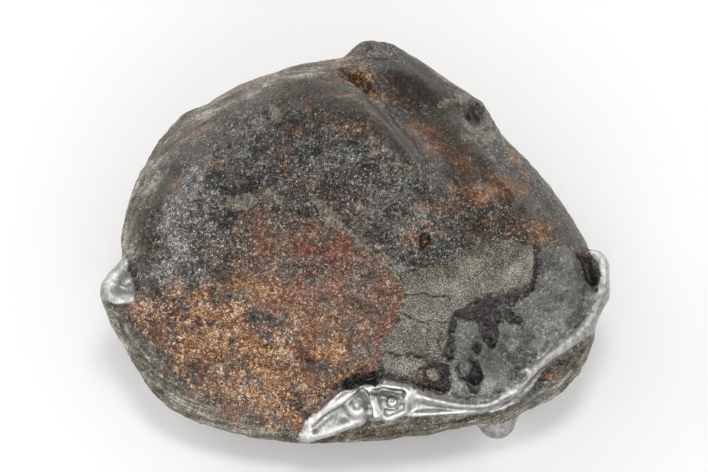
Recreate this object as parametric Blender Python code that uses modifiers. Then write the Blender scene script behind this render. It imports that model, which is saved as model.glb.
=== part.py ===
"""A pallasite meteorite: one natural nodule of iron and olivine, with metal knobs and a metal lip.

The nodule lies on a small flat spot at z = 0, +Z up, and its front, with the metal lip, faces -Y.
Its form is worked out in millimetres, and turned into metres where the mesh is made.

The body is what a set of broad, slightly domed faces enclose. Onto it go ropes: raised ones are the lip,
the knobs and the rolled edges, and sunken ones are the crease, the pits and the hollows. A rope is a smooth
path of knots.
"""

import math

import bmesh
import bpy
import numpy as np
from mathutils import Matrix

MM = 0.001
NAME = "meteorite"

# Driving sizes, in millimetres
EDGE_SOFTNESS = 0.9         # how far the broad faces melt into each other
VIEW_ELEVATION = math.radians(60.0)
VIEW_DISTANCE = 420.0       # from the core to the eye that sees the front side

# Mesh sizes
CUBE_CUTS = 40              # cuts along each edge of the starting cube
BEAD_FINENESS = 2           # how often a bead's triangles are split
SKIN_STEP = 0.45            # size of the small cubes that fuse the ball and the beads
KEPT_SHARE = 0.13           # share of the triangles that the Decimate modifier keeps
SEARCH_REACH = 45.0         # farther from the core than any part of the surface
SEARCH_STEPS = 30
SETTLING_ROUNDS = 10        # rounds that put the points on the surface and even them out
SINKING_STEPS = 14          # steps that take the points down into the hollows
LAST_ROUNDS = 2             # rounds that even the points out in the hollows
PAST_BLEND = 1.0            # how far past its blend a rope still is looked at
NEAREST_DEPTH, FARTHEST_DEPTH, DEPTH_STEPS = 16.0, -10.0, 521    # where a sight line is searched
PROBE = 0.04                # step for measuring a slope
PATH_STEPS = 5              # straight pieces between two knots of a rope
CUTTER_SIDE = 100.0         # side of the block that cuts the flat spot

CORE = np.array([-0.11, -0.43, 12.5])      # the point that the faces are measured from
VIEW_RIGHT = np.array([1.0, 0.0, 0.0])
VIEW_UP = np.array([0.0, math.sin(VIEW_ELEVATION), math.cos(VIEW_ELEVATION)])
VIEW_TOWARD = np.array([0.0, -math.cos(VIEW_ELEVATION), math.sin(VIEW_ELEVATION)])
EYE = CORE + VIEW_TOWARD * VIEW_DISTANCE

# Faces round the rim: angle in the view of the front side, from right toward up, distance from the core,
# and dome radius
RIM_FACES = (
    (1.1, 25.4, 70.0),
    (28.0, 26.0, 70.0),
    (37.2, 20.6, 70.0),
    (50.4, 17.7, 70.0),
    (76.0, 23.5, 70.0),
    (91.5, 17.6, 70.0),
    (114.1, 19.3, 70.0),
    (132.0, 22.2, 70.0),
    (151.5, 21.4, 70.0),
    (170.9, 23.5, 70.0),
    (191.8, 25.0, 70.0),
    (213.4, 28.8, 70.0),
    (226.0, 29.8, 70.0),
    (238.0, 29.8, 70.0),
    (252.5, 28.6, 70.0),
    (275.8, 20.85, 90.0),
    (300.0, 29.4, 70.0),
    (318.0, 30.25, 70.0),
    (332.0, 30.75, 70.0),
)

# The other broad faces: direction (right, back, up), distance from the core, dome radius
BROAD_FACES = (
    ((-0.04, -0.62, 0.78), 8.6, 90.0),    # the big front face
    ((-0.02, -0.26, 0.97), 11.3, 60.0),   # the roll from the front to the top
    ((0.30, -0.52, 0.80), 12.9, 90.0),    # the metal end of the front
    ((-0.45, -0.35, 0.82), 14.9, 80.0),   # the left of the front
    ((-0.42, 0.22, 0.88), 15.6, 80.0),    # the left shoulder
    ((0.00, 0.15, 0.99), 13.0, 60.0),     # the top
    ((0.34, 0.26, 0.90), 13.5, 90.0),     # the right of the top
    ((0.72, 0.05, 0.69), 19.0, 80.0),     # the right shoulder
    ((0.05, 0.78, 0.62), 22.2, 70.0),     # the upper back
    ((0.00, 0.97, -0.20), 20.1, 70.0),    # the back
    ((0.10, 0.62, -0.78), 18.7, 60.0),    # the lower back
    ((0.00, 0.00, -1.00), 13.0, 67.0),    # the underside, of which the flat spot cuts off the lowest part
    ((-0.65, 0.10, -0.75), 22.7, 60.0),   # the lower left
    ((0.70, 0.00, -0.72), 23.9, 60.0),    # the lower right
    ((0.05, -0.62, -0.78), 26.6, 60.0),   # the lower front
)

# Ropes on the front side. A knot is (right, up, radius, proud or depth), all in millimetres: right and up from the
# core as the eye sees them, and how far the rope stands proud of the body or is sunk in it.
RAISED_FRONT = {
    "left_rolled_edge": (2.0, (
        (-17.2, 11.6, 1.8, 0.1), (-20.0, 7.8, 1.8, 0.3), (-21.6, 4.2, 1.7, 0.3), (-22.6, 0.6, 1.5, 0.2),
    )),
    "dome": (2.6, (
        (-6.0, 14.2, 4.2, 0.2), (-1.5, 12.6, 4.0, 0.8), (2.4, 10.0, 3.6, 1.1), (5.0, 7.2, 3.0, 0.9),
        (6.6, 4.6, 2.6, 0.3),
    )),
    "khaki_plate": (1.4, (
        (8.0, -4.6, 2.4, 0.1), (11.0, -3.4, 2.6, 0.2), (14.0, -2.8, 2.4, 0.25), (16.2, -2.8, 2.0, 0.2),
    )),
    "blue_plate": (0.7, ((20.2, -3.0, 1.9, 0.5), (21.4, -4.8, 1.6, 0.4), (21.0, -6.8, 1.2, 0.2))),
    "lip_root": (0.8, (
        (-4.7, -20.0, 0.6, 0.5), (-3.4, -18.9, 1.0, 0.7), (-1.8, -17.6, 1.5, 1.0), (-0.3, -16.6, 1.9, 1.2),
        (1.4, -16.6, 1.9, 1.2), (3.2, -16.4, 2.0, 1.2), (4.6, -16.3, 1.5, 0.9),
    )),
    "lip_upper_ridge": (0.5, (
        (-4.2, -18.7, 0.5, 0.5), (-2.9, -17.4, 0.55, 1.1), (-1.6, -16.1, 0.6, 1.7), (-0.3, -15.1, 0.6, 1.6),
    )),
    "lip_lower_ridge": (0.5, (
        (-4.4, -19.9, 0.5, 0.5), (-2.6, -19.3, 0.6, 1.0), (-0.8, -18.4, 0.7, 1.4), (0.6, -18.0, 0.7, 1.4),
    )),
    "lip_middle_lobe": (0.6, ((0.3, -16.9, 0.9, 2.0),)),
    "lip_second_lobe": (0.5, ((1.8, -15.9, 0.6, 1.9), (2.2, -17.2, 0.7, 2.0))),
    "lip_right_lobe": (0.5, ((3.4, -17.6, 0.7, 1.7), (4.8, -17.1, 0.6, 1.4))),
    "lip_arch": (0.5, (
        (1.0, -14.9, 0.5, 1.2), (2.6, -14.5, 0.55, 1.3), (4.0, -14.8, 0.6, 1.2), (5.3, -15.2, 0.6, 0.9),
    )),
    "lip_nub": (0.5, ((3.8, -16.1, 0.5, 1.9),)),
    "thin_lip": (0.6, (
        (5.0, -15.5, 0.8, 0.7), (6.4, -15.8, 0.6, 0.55), (8.0, -16.25, 0.5, 0.5), (10.3, -16.7, 0.5, 0.5),
        (12.4, -16.8, 0.5, 0.5), (13.8, -16.5, 0.55, 0.55), (15.2, -15.7, 0.65, 0.6),
        (16.2, -14.8, 0.75, 0.6),
    )),
    "side_lip": (1.5, (
        (16.0, -15.0, 0.8, 0.6), (17.0, -13.8, 0.95, 0.6), (18.2, -12.6, 1.0, 0.6), (19.5, -11.5, 1.0, 0.6),
        (21.0, -10.5, 1.0, 0.55), (22.3, -9.5, 1.0, 0.5), (23.3, -8.3, 1.0, 0.5), (24.1, -6.8, 1.0, 0.5),
        (24.5, -5.2, 1.0, 0.4),
    )),
    "second_lip": (0.3, (
        (5.6, -17.8, 0.35, 0.2), (9.3, -17.6, 0.35, 0.3), (12.1, -17.45, 0.35, 0.3), (14.4, -17.1, 0.35, 0.2),
    )),
}
SUNKEN_FRONT = {
    "crease": (0.3, (
        (1.6, 14.6, 0.5, 0.7), (3.4, 12.4, 0.35, 0.5), (5.0, 10.4, 0.3, 0.5), (6.4, 8.8, 0.3, 0.35),
    )),
    "valley": (2.4, (
        (4.4, 13.4, 2.6, 0.5), (7.4, 10.0, 3.2, 0.9), (10.0, 6.4, 3.2, 0.7), (12.0, 3.0, 3.0, 0.3),
    )),
    "ochre_pit": (0.3, ((-1.0, 16.3, 0.6, 0.7), (0.2, 15.8, 1.0, 1.7), (1.2, 15.0, 0.8, 1.1))),
    "lip_crease": (0.25, ((0.8, -15.6, 0.3, 0.4), (1.2, -16.6, 0.35, 0.6), (1.6, -18.0, 0.3, 0.4))),
    "lip_valley": (0.4, ((-3.9, -19.3, 0.35, 0.3), (-2.6, -18.2, 0.4, 0.5), (-1.4, -17.4, 0.4, 0.3))),
    "lip_notch": (0.4, ((2.9, -15.5, 0.4, 0.4), (4.7, -15.8, 0.4, 0.4))),
    "left_hollow": (2.0, ((-19.0, 5.4, 2.2, 0.4), (-19.6, 2.0, 2.4, 0.5), (-19.6, -1.2, 2.0, 0.3))),
    "metal_dish": (2.0, ((13.4, -9.6, 2.2, 0.4), (15.8, -9.8, 2.4, 0.6), (17.8, -8.8, 1.8, 0.4))),
    "lip_undercut": (0.5, (
        (6.4, -18.6, 0.4, 0.3), (9.0, -18.4, 0.5, 0.5), (12.0, -18.2, 0.6, 0.6), (14.8, -17.7, 0.7, 0.8),
        (17.0, -16.0, 0.8, 0.7), (19.2, -13.7, 0.8, 0.6), (21.4, -12.2, 0.8, 0.5), (23.2, -10.6, 0.6, 0.3),
    )),
    "knob_pit": (0.6, ((22.9, -2.7, 0.6, 0.3), (23.3, -3.7, 0.8, 0.6), (23.7, -4.6, 0.6, 0.4))),
    "slot_pit": (0.25, ((13.2, -9.0, 0.6, 0.6), (13.8, -10.4, 0.7, 0.8), (13.6, -11.4, 0.5, 0.5))),
    "ring_pit": (0.3, ((7.6, -14.2, 0.6, 0.3), (8.6, -13.8, 0.7, 0.3))),
    "double_pit": (0.25, ((11.4, -13.2, 0.7, 0.5), (12.2, -14.2, 0.6, 0.6))),
    "lip_pit": (0.2, ((16.4, -13.2, 0.5, 0.3), (16.8, -13.8, 0.5, 0.3))),
    "glint_pit": (0.2, ((7.1, -0.2, 0.5, 0.7), (6.9, -0.8, 0.4, 0.5))),
}

# Knobs and the foot stand out past the outline, so their knots state how far toward the eye they lie instead:
# (right, up, toward, radius)
OUTSTANDING = {
    "left_knob": (0.8, ((-22.9, -5.6, 1.2, 2.5), (-22.2, -4.0, 0.9, 1.85))),
    "left_heel": (2.0, ((-22.2, -8.0, -0.6, 2.1), (-20.3, -10.3, -0.8, 2.1))),
    "right_knob": (0.7, ((23.7, -3.2, 0.6, 1.85), (23.5, -5.2, 0.8, 2.1))),
    "top_mound": (2.4, (
        (2.2, 16.6, -2.8, 2.2), (4.4, 15.2, -3.0, 3.0), (7.2, 12.7, -3.0, 2.7), (9.9, 11.0, -2.4, 2.65),
        (11.2, 9.9, -1.6, 1.9),
    )),
    "top_peak": (1.6, ((1.6, 17.75, -2.4, 1.75), (3.1, 17.25, -2.6, 1.85))),
    "rim_bump": (1.0, ((11.7, 11.8, -1.0, 1.8), (13.0, 10.4, -0.8, 1.0))),
    "foot": (1.6, ((14.5, -15.8, -0.8, 2.3), (14.3, -18.4, -1.0, 1.9))),
}

# Ropes on the hidden sides. A knot is (right, back, up from the core, radius, proud or depth), where the first three
# only give the direction from the core.
RAISED_BEHIND = {
    "back_lip": (0.6, (
        (-15.0, 12.0, -1.0, 1.0, 0.3), (-9.0, 16.0, -3.5, 1.1, 0.8), (-3.0, 17.0, -4.5, 1.2, 1.0),
        (2.0, 17.0, -3.5, 1.0, 0.7), (6.0, 17.0, -1.5, 0.9, 0.3),
    )),
    "back_knob": (0.9, ((13.0, 13.0, -2.0, 1.9, 1.0), (14.2, 11.0, -2.6, 1.6, 0.7))),
    "back_shoulder": (2.4, (
        (-4.0, 12.0, 9.0, 3.4, 0.5), (3.0, 13.0, 8.0, 3.6, 0.7), (9.0, 12.0, 6.0, 3.0, 0.4),
    )),
}
SUNKEN_BEHIND = {
    "back_hollow": (2.2, ((4.0, 18.0, 2.0, 4.0, 0.9), (10.0, 16.0, 1.0, 3.6, 0.7))),
    "left_back_hollow": (2.2, ((-13.0, 14.0, -1.0, 3.6, 0.8), (-17.0, 9.0, -3.0, 3.4, 0.7))),
    "right_hollow": (2.0, ((21.0, 6.0, -5.0, 3.2, 0.7), (18.0, 11.0, -3.0, 3.0, 0.5))),
    "under_crease": (0.5, (
        (-16.0, -4.0, -9.0, 0.6, 0.3), (-13.0, 3.0, -9.5, 0.8, 0.6), (-9.0, 9.0, -9.0, 0.6, 0.4),
    )),
    "back_pit": (0.3, ((-6.0, 17.0, 1.0, 1.0, 1.2), (-5.0, 17.0, 0.4, 0.8, 0.8))),
}


def unit(vectors):
    """The vectors at length 1."""
    vectors = np.asarray(vectors, float)
    return vectors / np.linalg.norm(vectors, axis=-1, keepdims=True)


def body(points):
    """How far points lie outside the nodule's broad faces, where they are inside it negative."""
    directions, distances, curve_radii = [], [], []
    for angle, distance, curve_radius in RIM_FACES:
        turn = math.radians(angle)
        directions.append(VIEW_RIGHT * math.cos(turn) + VIEW_UP * math.sin(turn))
        distances.append(distance)
        curve_radii.append(curve_radius)
    for direction, distance, curve_radius in BROAD_FACES:
        directions.append(direction)
        distances.append(distance)
        curve_radii.append(curve_radius)
    curve_radii = np.array(curve_radii)
    centres = CORE + unit(directions) * (np.array(distances) - curve_radii)[:, None]
    outside = np.array([
        np.linalg.norm(points - centre, axis=-1) - curve_radius
        for centre, curve_radius in zip(centres, curve_radii)
    ])
    largest = outside.max(axis=0)
    spread = np.exp((outside - largest) / EDGE_SOFTNESS).sum(axis=0)
    return largest + EDGE_SOFTNESS * np.log(spread)


def slope(points, outside):
    """The direction in which the distance grows fastest at each point: the surface's outward normal."""
    steps = np.eye(3) * PROBE
    return unit(np.stack([outside(points + step) - outside(points - step) for step in steps], axis=-1))


def sight_point(right, up, toward):
    """The point that the eye sees at right and up, at a depth measured toward the eye from the core."""
    mark = CORE + VIEW_RIGHT * right + VIEW_UP * up
    ray = EYE - mark
    return mark + ray * (toward / (ray @ VIEW_TOWARD))


def seen_on(right, up, outside):
    """The surface's point that the eye sees at right and up, or the nearest to the sight line."""
    depths = np.linspace(NEAREST_DEPTH, FARTHEST_DEPTH, DEPTH_STEPS)
    line = np.array([sight_point(right, up, depth) for depth in depths])
    outsides = outside(line)
    inside = np.flatnonzero(outsides < 0)
    return line[inside[0]] if len(inside) else line[outsides.argmin()]


def faced_on(right, back, up, outside):
    """The surface's point in a direction from the core."""
    direction = unit([[right, back, up]])
    return CORE + direction[0] * reach_along(direction, outside)[0]


def smooth_path(knots):
    """Rows of knots with rows between them, on a Catmull-Rom curve through all the columns."""
    knots = np.asarray(knots, float)
    if len(knots) < 2:
        return knots
    padded = np.vstack([2 * knots[0] - knots[1], knots, 2 * knots[-1] - knots[-2]])
    rows = []
    for first, second, third, fourth in zip(padded, padded[1:], padded[2:], padded[3:]):
        for t in np.arange(PATH_STEPS) / PATH_STEPS:
            rows.append(0.5 * (
                2 * second + (third - first) * t
                + (2 * first - 5 * second + 4 * third - fourth) * t ** 2
                + (3 * second - 3 * third + fourth - first) * t ** 3
            ))
    rows.append(knots[-1])
    return np.array(rows)


def rope_distance(points, path):
    """How far points lie outside a rope, given as rows of x, y, z, radius."""
    if len(path) == 1:
        return np.linalg.norm(points - path[0, :3], axis=-1) - path[0, 3]
    nearest = np.full(len(points), np.inf)
    for start, end in zip(path, path[1:]):
        along = end[:3] - start[:3]
        share = np.clip((points - start[:3]) @ along / (along @ along), 0.0, 1.0)
        gap = np.linalg.norm(points - start[:3] - share[:, None] * along, axis=-1)
        nearest = np.minimum(nearest, gap - start[3] - share * (end[3] - start[3]))
    return nearest


def laid_rope(knots, place, sign, outside):
    """A rope's path, proud of the surface where sign is 1 and sunk in it where sign is -1."""
    rows = []
    for *where, radius, proud in knots:
        spot = place(*where, outside)
        outward = slope(spot[None], outside)[0]
        rows.append([*(spot + outward * sign * (proud - radius)), radius])
    return smooth_path(rows)


def all_ropes():
    """The raised ropes, laid on the broad faces, and the sunken ones, laid on both, as (blend, path)."""
    raised = []
    for blend, knots in OUTSTANDING.values():
        rows = [[*sight_point(right, up, toward), radius] for right, up, toward, radius in knots]
        raised.append((blend, smooth_path(rows)))
    for place, group in ((seen_on, RAISED_FRONT), (faced_on, RAISED_BEHIND)):
        for blend, knots in group.values():
            raised.append((blend, laid_rope(knots, place, 1, body)))
    sunken = []
    for place, group in ((seen_on, SUNKEN_FRONT), (faced_on, SUNKEN_BEHIND)):
        for blend, knots in group.values():
            sunken.append((blend, laid_rope(knots, place, -1, lambda at: nodule(at, raised, []))))
    return raised, sunken


def join_rope(outside, rope_outside, blend):
    """A softly blended union of the nodule and a rope."""
    mix = np.clip(0.5 + 0.5 * (outside - rope_outside) / blend, 0.0, 1.0)
    return outside + (rope_outside - outside) * mix - blend * mix * (1 - mix)


def nodule(points, raised, sunken):
    """How far points lie outside the nodule with its raised and its sunken ropes."""
    outside = body(points)
    for sign, ropes in ((1, raised), (-1, sunken)):
        for blend, path in ropes:
            middle = path[:, :3].mean(axis=0)
            reach = (np.linalg.norm(path[:, :3] - middle, axis=1) + path[:, 3]).max() + blend + PAST_BLEND
            near = np.linalg.norm(points - middle, axis=-1) < reach
            if near.any():
                joined = join_rope(sign * outside[near], rope_distance(points[near], path), blend)
                outside[near] = sign * joined
    return outside


def reach_along(directions, outside):
    """How far from the core the surface lies in each direction."""
    near = np.zeros(len(directions))
    far = np.full(len(directions), SEARCH_REACH)
    for _ in range(SEARCH_STEPS):
        middle = (near + far) / 2
        beyond = outside(CORE + directions * middle[:, None]) > 0
        far = np.where(beyond, middle, far)
        near = np.where(beyond, near, middle)
    return (near + far) / 2


def settle(points, edges, outside, rounds):
    """Points put on the nearest surface and evened out along it."""
    ends = np.vstack([edges, edges[:, ::-1]])
    neighbours = np.bincount(ends[:, 0], minlength=len(points))
    for _ in range(rounds):
        outward = slope(points, outside)
        points = points - outward * outside(points)[:, None]
        sums = [np.bincount(ends[:, 0], points[ends[:, 1], axis], len(points)) for axis in range(3)]
        pull = np.stack(sums, axis=1) / neighbours[:, None] - points
        points = points + pull - outward * (pull * outward).sum(axis=1, keepdims=True)
    return points - slope(points, outside) * outside(points)[:, None]


def sink(points, outward, outside):
    """Points moved inwards, against the outward directions, until they meet the surface of the hollows."""
    for _ in range(SINKING_STEPS):
        points = points - outward * outside(points)[:, None]
    return points


def rough_form(raised):
    """A ball drawn onto the broad faces and a bead at each step of the raised ropes, fused to one skin."""
    work = bmesh.new()
    bmesh.ops.create_cube(work, size=2.0)
    bmesh.ops.subdivide_edges(work, edges=work.edges[:], cuts=CUBE_CUTS, use_grid_fill=True)
    directions = unit(np.tan(np.array([vertex.co for vertex in work.verts]) * math.pi / 4))
    places = CORE + directions * reach_along(directions, body)[:, None]
    for vertex, place in zip(work.verts, places):
        vertex.co = place
    for _, path in raised:
        for *place, radius in path:
            at = Matrix.Translation(place)
            bmesh.ops.create_icosphere(work, subdivisions=BEAD_FINENESS, radius=radius, matrix=at)
    mesh = bpy.data.meshes.new("rough_form")
    work.to_mesh(mesh)
    work.free()
    rough = bpy.data.objects.new("rough_form", mesh)
    bpy.context.scene.collection.objects.link(rough)
    skin = rough.modifiers.new("skin", "REMESH")
    skin.mode = "VOXEL"
    skin.voxel_size = SKIN_STEP
    fused = bpy.data.meshes.new_from_object(rough.evaluated_get(bpy.context.evaluated_depsgraph_get()))
    bpy.data.objects.remove(rough)
    return fused


def nodule_mesh():
    """The nodule's skin, each point settled where the nodule's surface is."""
    raised, sunken = all_ropes()
    mesh = rough_form(raised)
    points = np.array([vertex.co for vertex in mesh.vertices])
    edges = np.array([edge.vertices for edge in mesh.edges])

    def bumps(at):
        return nodule(at, raised, [])

    def whole(at):
        return nodule(at, raised, sunken)

    points = settle(points, edges, bumps, SETTLING_ROUNDS)
    points = sink(points, slope(points, bumps), whole)
    points = settle(points, edges, whole, LAST_ROUNDS)
    mesh.vertices.foreach_set("co", (points * MM).ravel())
    mesh.name = NAME
    return mesh


def clear_scene():
    """Removes everything from the scene."""
    for thing in list(bpy.data.objects):
        bpy.data.objects.remove(thing)


def new_collection(name):
    """A collection in the scene."""
    made = bpy.data.collections.new(name)
    bpy.context.scene.collection.children.link(made)
    return made


def crust_material():
    """Dark, rusty crust."""
    made = bpy.data.materials.new("crust")
    made.use_nodes = True
    shader = made.node_tree.nodes["Principled BSDF"]
    shader.inputs["Base Color"].default_value = (0.085, 0.06, 0.045, 1.0)
    shader.inputs["Roughness"].default_value = 0.5
    shader.inputs["Metallic"].default_value = 0.25
    return made


def ground_cutter():
    """The block below z = 0 that cuts the flat spot."""
    work = bmesh.new()
    side = CUTTER_SIDE * MM
    bmesh.ops.create_cube(work, size=side, matrix=Matrix.Translation((0.0, 0.0, -side / 2)))
    mesh = bpy.data.meshes.new("ground_cutter")
    work.to_mesh(mesh)
    work.free()
    cutter = bpy.data.objects.new("ground_cutter", mesh)
    cutter.hide_render = True
    cutter.display_type = "WIRE"
    return cutter


def build():
    """The meteorite, thinned out to few triangles and cut flat where it rests."""
    clear_scene()
    stone = bpy.data.objects.new(NAME, nodule_mesh())
    stone.data.materials.append(crust_material())
    stone.data.shade_smooth()
    new_collection("pallasite_meteorite").objects.link(stone)
    cutter = ground_cutter()
    new_collection("cutters").objects.link(cutter)

    thin_out = stone.modifiers.new("thin_out", "DECIMATE")
    thin_out.ratio = KEPT_SHARE
    flat_spot = stone.modifiers.new("flat_spot", "BOOLEAN")
    flat_spot.operation = "DIFFERENCE"
    flat_spot.object = cutter


build()
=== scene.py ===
"""A pallasite meteorite, finished: a nodule of nickel-iron and olivine under a dark, rust-stained crust.

The stone's form is worked out in millimetres from broad domed faces and from ropes, which are smooth paths
that stand proud of them, such as the metal lip, or are sunk in them, such as the crease. Its skin is meshed
finely where the front side shows small relief. Each finish, such as bare metal or olivine, covers patches
that are drawn in the view of the front side, or lie round the back. How far inside its patches a point lies
is kept on the mesh, and the stone's material reads it.
"""

import logging
import math
from dataclasses import dataclass, field
from enum import Enum
from typing import Callable

import bmesh
import bpy
import numpy as np
from mathutils import Matrix, Vector


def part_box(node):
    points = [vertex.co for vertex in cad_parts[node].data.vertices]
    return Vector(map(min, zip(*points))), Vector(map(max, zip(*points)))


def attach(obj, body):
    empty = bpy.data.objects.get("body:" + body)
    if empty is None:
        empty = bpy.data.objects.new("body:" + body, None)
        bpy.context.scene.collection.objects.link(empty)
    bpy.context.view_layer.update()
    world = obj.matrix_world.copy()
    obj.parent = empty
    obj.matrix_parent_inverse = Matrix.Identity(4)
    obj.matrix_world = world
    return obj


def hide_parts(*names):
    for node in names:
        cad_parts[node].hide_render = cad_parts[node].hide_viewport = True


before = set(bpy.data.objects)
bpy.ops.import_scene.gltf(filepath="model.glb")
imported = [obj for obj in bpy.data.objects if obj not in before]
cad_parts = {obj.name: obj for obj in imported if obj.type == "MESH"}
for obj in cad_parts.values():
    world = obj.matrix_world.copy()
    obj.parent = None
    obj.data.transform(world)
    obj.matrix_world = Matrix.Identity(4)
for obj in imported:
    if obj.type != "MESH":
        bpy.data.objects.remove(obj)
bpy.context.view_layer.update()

LOG = logging.getLogger("meteorite")
MM = 0.001
NODE = "meteorite"
BODY = "root"
GRAIN_SHADES = (-58, -34, -12, 10, 38, 84)      # how much paler than its finish each kind of grain looks

Field = Callable[[np.ndarray], np.ndarray]
Colour = tuple[float, float, float]
Palette = tuple[Colour, ...]
Knots = tuple[tuple[float, ...], ...]


class Place(Enum):
    """How a rope's knots say where they are."""

    SEEN = "right, up"                      # on the surface, where the eye sees it
    FACING = "right, back, up"              # on the surface, in a direction from the core
    OUTSTANDING = "right, up, toward"       # off the surface, at a depth toward the eye


class Finish(Enum):
    """The finishes. Each value names the mesh attribute for how far inside its patches a point lies."""

    METAL = "bare_metal"
    BLUE = "blue_metal"
    KHAKI = "khaki_metal"
    OLIVINE = "olivine"
    GOLD = "gold_crust"
    RUST = "rust"
    PALE = "pale_fleck"
    DARK = "dark_pit"
    BRIGHT = "bright_gold"
    NIGHT = "night_crust"
    PLUM = "plum_crust"
    SMOOTH = "smooth_crust"
    # A lighter, streaked band along the rims: painted sheen
    RIM_SHEEN = "streaked_rim_sheen"
    # A lighter patch on the left with more specks: painted sheen and glints
    SHEEN_GLINTS = "crust_sheen_and_glints"


def unit(vectors: np.ndarray) -> np.ndarray:
    """Returns the vectors at length 1."""
    vectors = np.asarray(vectors, float)
    return vectors / np.linalg.norm(vectors, axis=-1, keepdims=True)


def slope(points: np.ndarray, outside: Field, probe: float = 0.04) -> np.ndarray:
    """Measures in which direction a distance grows fastest.

    Args:
        points: Rows of x, y, z.
        outside: The distance.
        probe: The step to measure with, along each axis.

    Returns:
        A row of length 1 for each point: the outward normal of the surface there.
    """
    corners = np.array([(1, -1, -1), (-1, -1, 1), (-1, 1, -1), (1, 1, 1)]) * probe
    return unit(sum(outside(points + corner)[:, None] * corner for corner in corners))


def smooth_path(knots: np.ndarray, steps: int = 5, closed: bool = False) -> np.ndarray:
    """Draws a Catmull-Rom curve through knots.

    Args:
        knots: Rows of any number of columns.
        steps: Pieces between two knots.
        closed: Whether the last knot leads back to the first.

    Returns:
        The knots, with the rows between them.
    """
    knots = np.asarray(knots, float)
    if len(knots) < 2:
        return knots
    if closed:
        padded = np.vstack([knots[-1:], knots, knots[:2]])
    else:
        padded = np.vstack([2 * knots[0] - knots[1], knots, 2 * knots[-1] - knots[-2]])
    rows = []
    for first, second, third, fourth in zip(padded, padded[1:], padded[2:], padded[3:]):
        for t in np.arange(steps) / steps:
            rows.append(0.5 * (
                2 * second + (third - first) * t
                + (2 * first - 5 * second + 4 * third - fourth) * t ** 2
                + (3 * second - 3 * third + fourth - first) * t ** 3
            ))
    if not closed:
        rows.append(knots[-1])
    return np.array(rows)


@dataclass(frozen=True)
class FrontView:
    """The view of the front side, from which the stone's features are placed, in millimetres."""

    core: tuple[float, float, float] = (-0.11, -0.43, 12.5)
    elevation: float = math.radians(60.0)
    distance: float = 420.0

    @property
    def axes(self) -> np.ndarray:
        """Returns rows for right, up and toward the eye."""
        sine, cosine = math.sin(self.elevation), math.cos(self.elevation)
        return np.array([[1.0, 0.0, 0.0], [0.0, sine, cosine], [0.0, -cosine, sine]])

    @property
    def eye(self) -> np.ndarray:
        """Returns where the eye is."""
        return np.array(self.core) + self.axes[2] * self.distance

    def point(self, right: float, up: float, toward: float) -> np.ndarray:
        """Finds the point that the eye sees at right and up.

        Args:
            right: To the right of the core.
            up: Above the core, as the eye sees it.
            toward: How far toward the eye the point lies.

        Returns:
            Its x, y, z.
        """
        mark = np.array(self.core) + self.axes[0] * right + self.axes[1] * up
        ray = self.eye - mark
        return mark + ray * (toward / (ray @ self.axes[2]))

    def project(self, points: np.ndarray) -> np.ndarray:
        """Returns right and up of each point, as the eye sees it."""
        seen = (points - np.array(self.core)) @ self.axes.T
        return seen[:, :2] * (self.distance / (self.distance - seen[:, 2:]))


@dataclass(frozen=True)
class Rope:
    """A smooth path of balls that is joined to the stone, or cut from it.

    Its knots end with a radius, and where they lie on the surface with how far they stand proud or are sunk.
    """

    place: Place
    blend: float
    knots: Knots
    bare: float = -1.0      # how far past the rope bare metal runs; below 0 there is none


@dataclass(frozen=True)
class LaidRope:
    """A rope in space: rows of x, y, z, radius."""

    blend: float
    path: np.ndarray
    bare: float
    piece: int = 6          # rows that are measured together
    far: float = 1000.0

    def outside(self, points: np.ndarray, margin: float) -> np.ndarray:
        """Returns how far points lie outside the rope, or a large number if that is beyond the margin."""
        nearest = np.full(len(points), self.far)
        for first in range(0, max(len(self.path) - 1, 1), self.piece):
            rows = self.path[first:first + self.piece + 1]
            middle = rows[:, :3].mean(axis=0)
            reach = (np.linalg.norm(rows[:, :3] - middle, axis=1) + rows[:, 3]).max() + margin
            offset = points - middle
            near = np.flatnonzero((offset * offset).sum(axis=1) < reach * reach)
            if len(near):
                nearest[near] = np.minimum(nearest[near], self.from_rows(points[near], rows))
        return nearest

    @staticmethod
    def from_rows(points: np.ndarray, rows: np.ndarray) -> np.ndarray:
        """Returns how far points lie outside one piece of the rope."""
        if len(rows) == 1:
            return np.linalg.norm(points - rows[0, :3], axis=1) - rows[0, 3]
        gaps = []
        for start, end in zip(rows, rows[1:]):
            along = end[:3] - start[:3]
            offset = points - start[:3]
            share = np.clip(offset @ (along / (along @ along)), 0.0, 1.0)
            offset -= share[:, None] * along
            gap = np.sqrt(np.einsum("ij,ij->i", offset, offset))
            gaps.append(gap - start[3] - share * (end[3] - start[3]))
        return np.minimum.reduce(gaps)


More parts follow.
